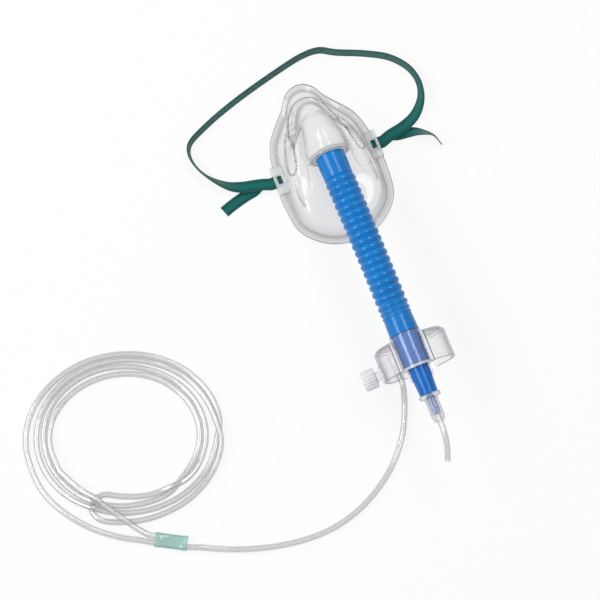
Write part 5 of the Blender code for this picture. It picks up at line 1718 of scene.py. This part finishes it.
@dataclass(frozen=True)
class Hood:
    """The clear hood, which stands on its round wall, with a sleeve for the diluter and a side port."""

    sleeve_place: Vector
    finishes: Finishes
    radius: float = HOOD_RADIUS
    length: float = HOOD_LENGTH
    wall: float = 1.6 * MM
    chamfer: float = HOOD_CHAMFER
    sleeve_offset: float = SLEEVE_OFFSET
    barrel: float = BARREL_RADIUS
    sleeve_wall: float = 1.8 * MM
    sleeve_proud: float = 3 * MM
    sleeve_floor: float = 2 * MM
    rib_thickness: float = 3 * MM
    rib_rise: float = 8.5 * MM
    window: tuple[float, float] = (14 * MM, 16 * MM)
    fin: tuple[float, float, float] = (1.4 * MM, FIN_LENGTH, 8 * MM)
    side_port: tuple[float, float, float] = (4.8 * MM, 3.2 * MM, 12.5 * MM)
    side_along: float = SIDE_PORT_ALONG
    boss: tuple[float, float] = (8 * MM, 1 * MM)
    cap_radius: float = 9.5 * MM
    cap_length: float = 12.8 * MM
    cap_standoff: float = 5.2 * MM
    knurls: int = 20
    knurl_steps: int = 10
    knurl_depth: float = 0.7 * MM

    @property
    def matrix(self) -> Matrix:
        """Place of the hood's own frame, whose origin is the sleeve's middle at the mouth."""
        return Matrix.Translation(self.sleeve_place) @ Matrix.Rotation(-LEAN, 4, "Y")

    def cup(self) -> Piece:
        """Makes the round cup with its chamfered end wall."""
        radius, length, wall, chamfer = self.radius, self.length, self.wall, self.chamfer
        inside = radius - wall
        outline = [(radius - chamfer, length), (radius, length - chamfer), (radius, 0), (inside, 0)]
        outline += [(inside, length - chamfer - wall / 2), (radius - chamfer - wall / 2, length - wall)]
        rounded = softened([(0.5 * radius, length), *outline, (0, length - wall)], 0.5 * MM, closed=False)
        place = Matrix.Translation((0, 0, -self.sleeve_offset)) @ Matrix.Rotation(-math.pi / 2, 4, "X")
        return turned("clear_hood", rounded, 144, place)

    def side_rod(self, radius: float, start: float, end: float) -> Piece:
        """Adds a bar along the side port, between two distances to the left of the hood's axis."""
        ends = [Vector((-reach, self.side_along, -self.sleeve_offset)) for reach in (start, end)]
        return rod(radius, *ends)

    def build(self) -> None:
        """Makes the hood and its cap."""
        hood, bore = self.cup(), self.barrel + FIT_GAP
        outer, top, inside = bore + self.sleeve_wall, self.length + self.sleeve_proud, self.radius - self.wall
        join(hood, rod(outer, Vector((0, 0, 0)), Vector((0, top, 0)), 96))
        rib, fin_start = bore + self.sleeve_wall / 3, LOWER_TUBE_RADIUS + FIT_GAP
        fin_thickness, fin_length, fin_height = self.fin
        for side in (half.value for half in Half):
            along, height = (0.4 * MM, self.length - 0.4 * MM), (-4 * MM, self.rib_rise)
            join(hood, block((side * rib, side * (rib + self.rib_thickness)), along, height, 0.35 * MM))
            along, height = (-fin_length, self.sleeve_floor / 2), (-fin_height / 2, fin_height / 2)
            join(hood, block((side * fin_start, side * (fin_start + fin_thickness)), along, height, 0.3 * MM))
        start, (port, port_bore, port_length) = inside - self.wall / 2, self.side_port
        join(hood, self.side_rod(self.boss[0], start, self.radius + self.boss[1]))
        join(hood, self.side_rod(port, start - self.wall, self.radius + port_length))
        cut(hood, self.side_rod(port_bore, start / 2, 2 * self.radius))
        floor = Vector((0, self.sleeve_floor, 0))
        cut(hood, rod(bore, floor, Vector((0, 2 * top, 0)), 96))
        cut(hood, rod(fin_start, Vector((0, -2 * fin_length, 0)), 2 * floor, 72))
        half_width, half_length, middle = self.window[0] / 2, self.window[1] / 2, self.length / 2
        along, height = (middle - half_length, middle + half_length), (-outer - 2 * MM, -0.3 * bore)
        cut(hood, block((-half_width, half_width), along, height, MM))
        at_origin(hood, self.matrix)
        smooth_shade(hood, 30)
        seat(hood, Body.SET, Slot.HARD_CLEAR, self.finishes.hood, "entrainment_hood")
        self.cap()

    def cap(self) -> None:
        """Makes the knurled cap that turns on the side port."""
        start = self.radius + self.cap_standoff
        end = start + self.cap_length
        socket, floor = self.side_port[0] + FIT_GAP, self.radius + self.side_port[2] + FIT_GAP
        count = self.knurl_steps * self.knurls

        def ring(along: float, radius: float, depth: float = 0.0) -> list[Vector]:
            """Gives the points round the cap at a distance from the hood's axis."""
            points = []
            for k in range(count):
                turn = 2 * math.pi * k / count
                wave = 0.5 - 0.5 * math.cos(turn * self.knurls)
                reach = radius - depth * wave**1.6
                points.append(Vector((-along, reach * math.cos(turn), reach * math.sin(turn))))
            return points

        radius, depth = self.cap_radius, self.knurl_depth
        profile = (
            (floor, 0.3 * MM),
            (floor, socket),
            (start + 0.4 * MM, socket),
            (start, socket + 0.4 * MM),
            (start, radius - 1.8 * MM),
            (start + 0.3 * MM, radius - 1.0 * MM),
            (start + 0.9 * MM, radius - 0.2 * MM, depth),
            (start + 1.4 * MM, radius, depth),
            (end - 2.2 * MM, radius, depth),
            (end - 1.2 * MM, radius - 0.35 * MM, 0.8 * depth),
            (end - 0.4 * MM, radius - 1.1 * MM),
            (end, radius - 2.2 * MM),
            (end, radius - 3.4 * MM),
            (end - 0.5 * MM, radius - 3.8 * MM),
            (end - 0.5 * MM, 0.3 * MM),
        )
        cap = lofted("side_cap", [ring(*row) for row in profile], joined=False)
        place = Vector((0, self.side_along, -self.sleeve_offset))
        at_origin(cap, self.matrix @ Matrix.Translation(place))
        smooth_shade(cap, 40)
        seat(cap, Body.CAP, Slot.HARD_CLEAR, self.finishes.cap, "hood_port_cap")


@dataclass(frozen=True)
class Diluter:
    """The blue diluter in the hood's sleeve, and the clear supply connector pushed over its barbs."""

    sleeve_place: Vector
    finishes: Finishes
    barrel: float = BARREL_RADIUS
    wall: float = 1.6 * MM
    spigot: float = SPIGOT_RADIUS
    shoulder: float = SHOULDER
    spigot_length: float = SPIGOT_LENGTH
    seat_height: float = 2.3 * MM
    lower_tube: float = LOWER_TUBE_RADIUS
    lower_end: float = 8.5 * MM
    lower_length: float = 26 * MM
    fin_length: float = FIN_LENGTH
    nozzle: float = 3.2 * MM
    nozzle_length: float = 20 * MM
    barb: float = 0.8 * MM
    barbs: int = 3
    jet: float = 1.2 * MM
    window: tuple[float, float] = (9 * MM, 12 * MM)
    flange: tuple[float, float] = (10.2 * MM, 3.5 * MM)
    connector: float = 6.05 * MM
    connector_end: float = 5.4 * MM
    connector_length: float = 26 * MM
    tip: float = 3.2 * MM
    socket: float = 3.15 * MM

    @property
    def matrix(self) -> Matrix:
        """Place of an axis that starts at the hood's mouth and points to the mask."""
        return Matrix.Translation(self.sleeve_place) @ Matrix.Rotation(-math.pi / 2, 4, "X")

    def body(self) -> None:
        """Makes the diluter with its barbs and its air window."""
        tube_end = -self.lower_length
        step, tip = self.nozzle_length / (self.barbs + 1), -self.lower_length - self.nozzle_length
        top, seat_at = self.shoulder + self.spigot_length, self.seat_height
        outline = [(self.spigot, top), (self.spigot, self.shoulder), (self.barrel, self.shoulder)]
        outline += [(self.barrel, seat_at), (self.lower_tube, seat_at), (self.lower_tube, -self.fin_length)]
        outline += [(self.lower_end, tube_end), (self.nozzle, tube_end)]
        for k in range(self.barbs):
            peak, barb = tube_end - (k + 0.6) * step, self.nozzle + self.barb
            outline += [(self.nozzle, peak), (barb, peak - 0.3 * MM), (self.nozzle, peak - 0.75 * step)]
        tube_bore, inside = self.lower_end - self.wall, self.spigot - self.wall
        outline += [(self.nozzle - 0.4 * MM, tip), (self.jet, tip), (self.jet, tube_end + self.wall)]
        outline += [(tube_bore, tube_end + self.wall), (tube_bore, seat_at + self.wall)]
        outline += [(inside, seat_at + 2 * self.wall), (inside, top)]
        diluter = turned("blue_diluter", softened(outline, 0.35 * MM), 96, self.matrix)
        x, y, z = self.sleeve_place + Vector((0, HOOD_LENGTH / 2, 0))
        half_width, half_length = self.window[0] / 2, self.window[1] / 2
        height = (z - 2 * self.barrel, z - 0.4 * self.barrel)
        across, along = (x - half_width, x + half_width), (y - half_length, y + half_length)
        cut(diluter, block(across, along, height, 0.8 * MM))
        smooth_shade(diluter, 35)
        seat(diluter, Body.SET, Slot.MOULDED, self.finishes.moulded, "venturi_diluter")

    def supply_connector(self) -> None:
        """Makes the flanged connector with fine ribs along its grip."""
        start = -self.lower_length - FIT_GAP
        end, floor = start - self.connector_length, start - self.nozzle_length
        bore = self.nozzle + self.barb + FIT_GAP
        reach, thick = self.flange
        outline = [(reach - 0.3 * MM, start), (reach, start - 0.3 * MM), (reach, start - thick + 0.8 * MM)]
        outline += [(reach - 0.9 * MM, start - thick), (self.connector + 0.5 * MM, start - thick - 0.4 * MM)]
        outline += [(self.connector, start - thick - 1.4 * MM), (self.connector, end + self.tip + 0.5 * MM)]
        outline += [(self.connector_end, end + self.tip), (self.connector_end, end + 0.4 * MM)]
        outline += [(self.connector_end - 0.4 * MM, end), (self.socket, end), (self.socket, floor)]
        outline += [(bore, floor), (bore, start)]
        connector = turned("supply_connector_piece", softened(outline, 0.25 * MM), 72, self.matrix)
        seat(connector, Body.SET, Slot.HARD_CLEAR, self.finishes.hard, "supply_connector")

    def build(self) -> None:
        """Makes both pieces."""
        self.body()
        self.supply_connector()


def main() -> None:
    """Builds the dressed object in order."""
    logging.basicConfig(level=logging.INFO, format="%(message)s")
    hinge = Vector(frame["joints"][0]["pos_m"])
    aside, along = SLEEVE_OFFSET * math.sin(LEAN), HOOD_MOUTH + SIDE_PORT_ALONG
    layout = Layout(Vector((hinge.x - aside, hinge.y - along, 0)))
    sleeve_place = layout.place(0, HOOD_MOUTH, HOOD_RADIUS + SLEEVE_OFFSET * math.cos(LEAN))
    studio = Studio(layout)
    studio.camera()
    finishes = Finishes(HoodMarks(sleeve_place))
    Tubing(layout, finishes).build()
    line = HoseLine(sleeve_place + Vector((0, SHOULDER + FIT_GAP, 0)))
    mask = Mask(layout, line, finishes)
    mask.build()
    Band(mask, finishes).build()
    Hose(line, finishes).build()
    Diluter(sleeve_place, finishes).build()
    Hood(sleeve_place, finishes).build()
    studio.floor()
    studio.light()


if __name__ == "__main__":
    main()
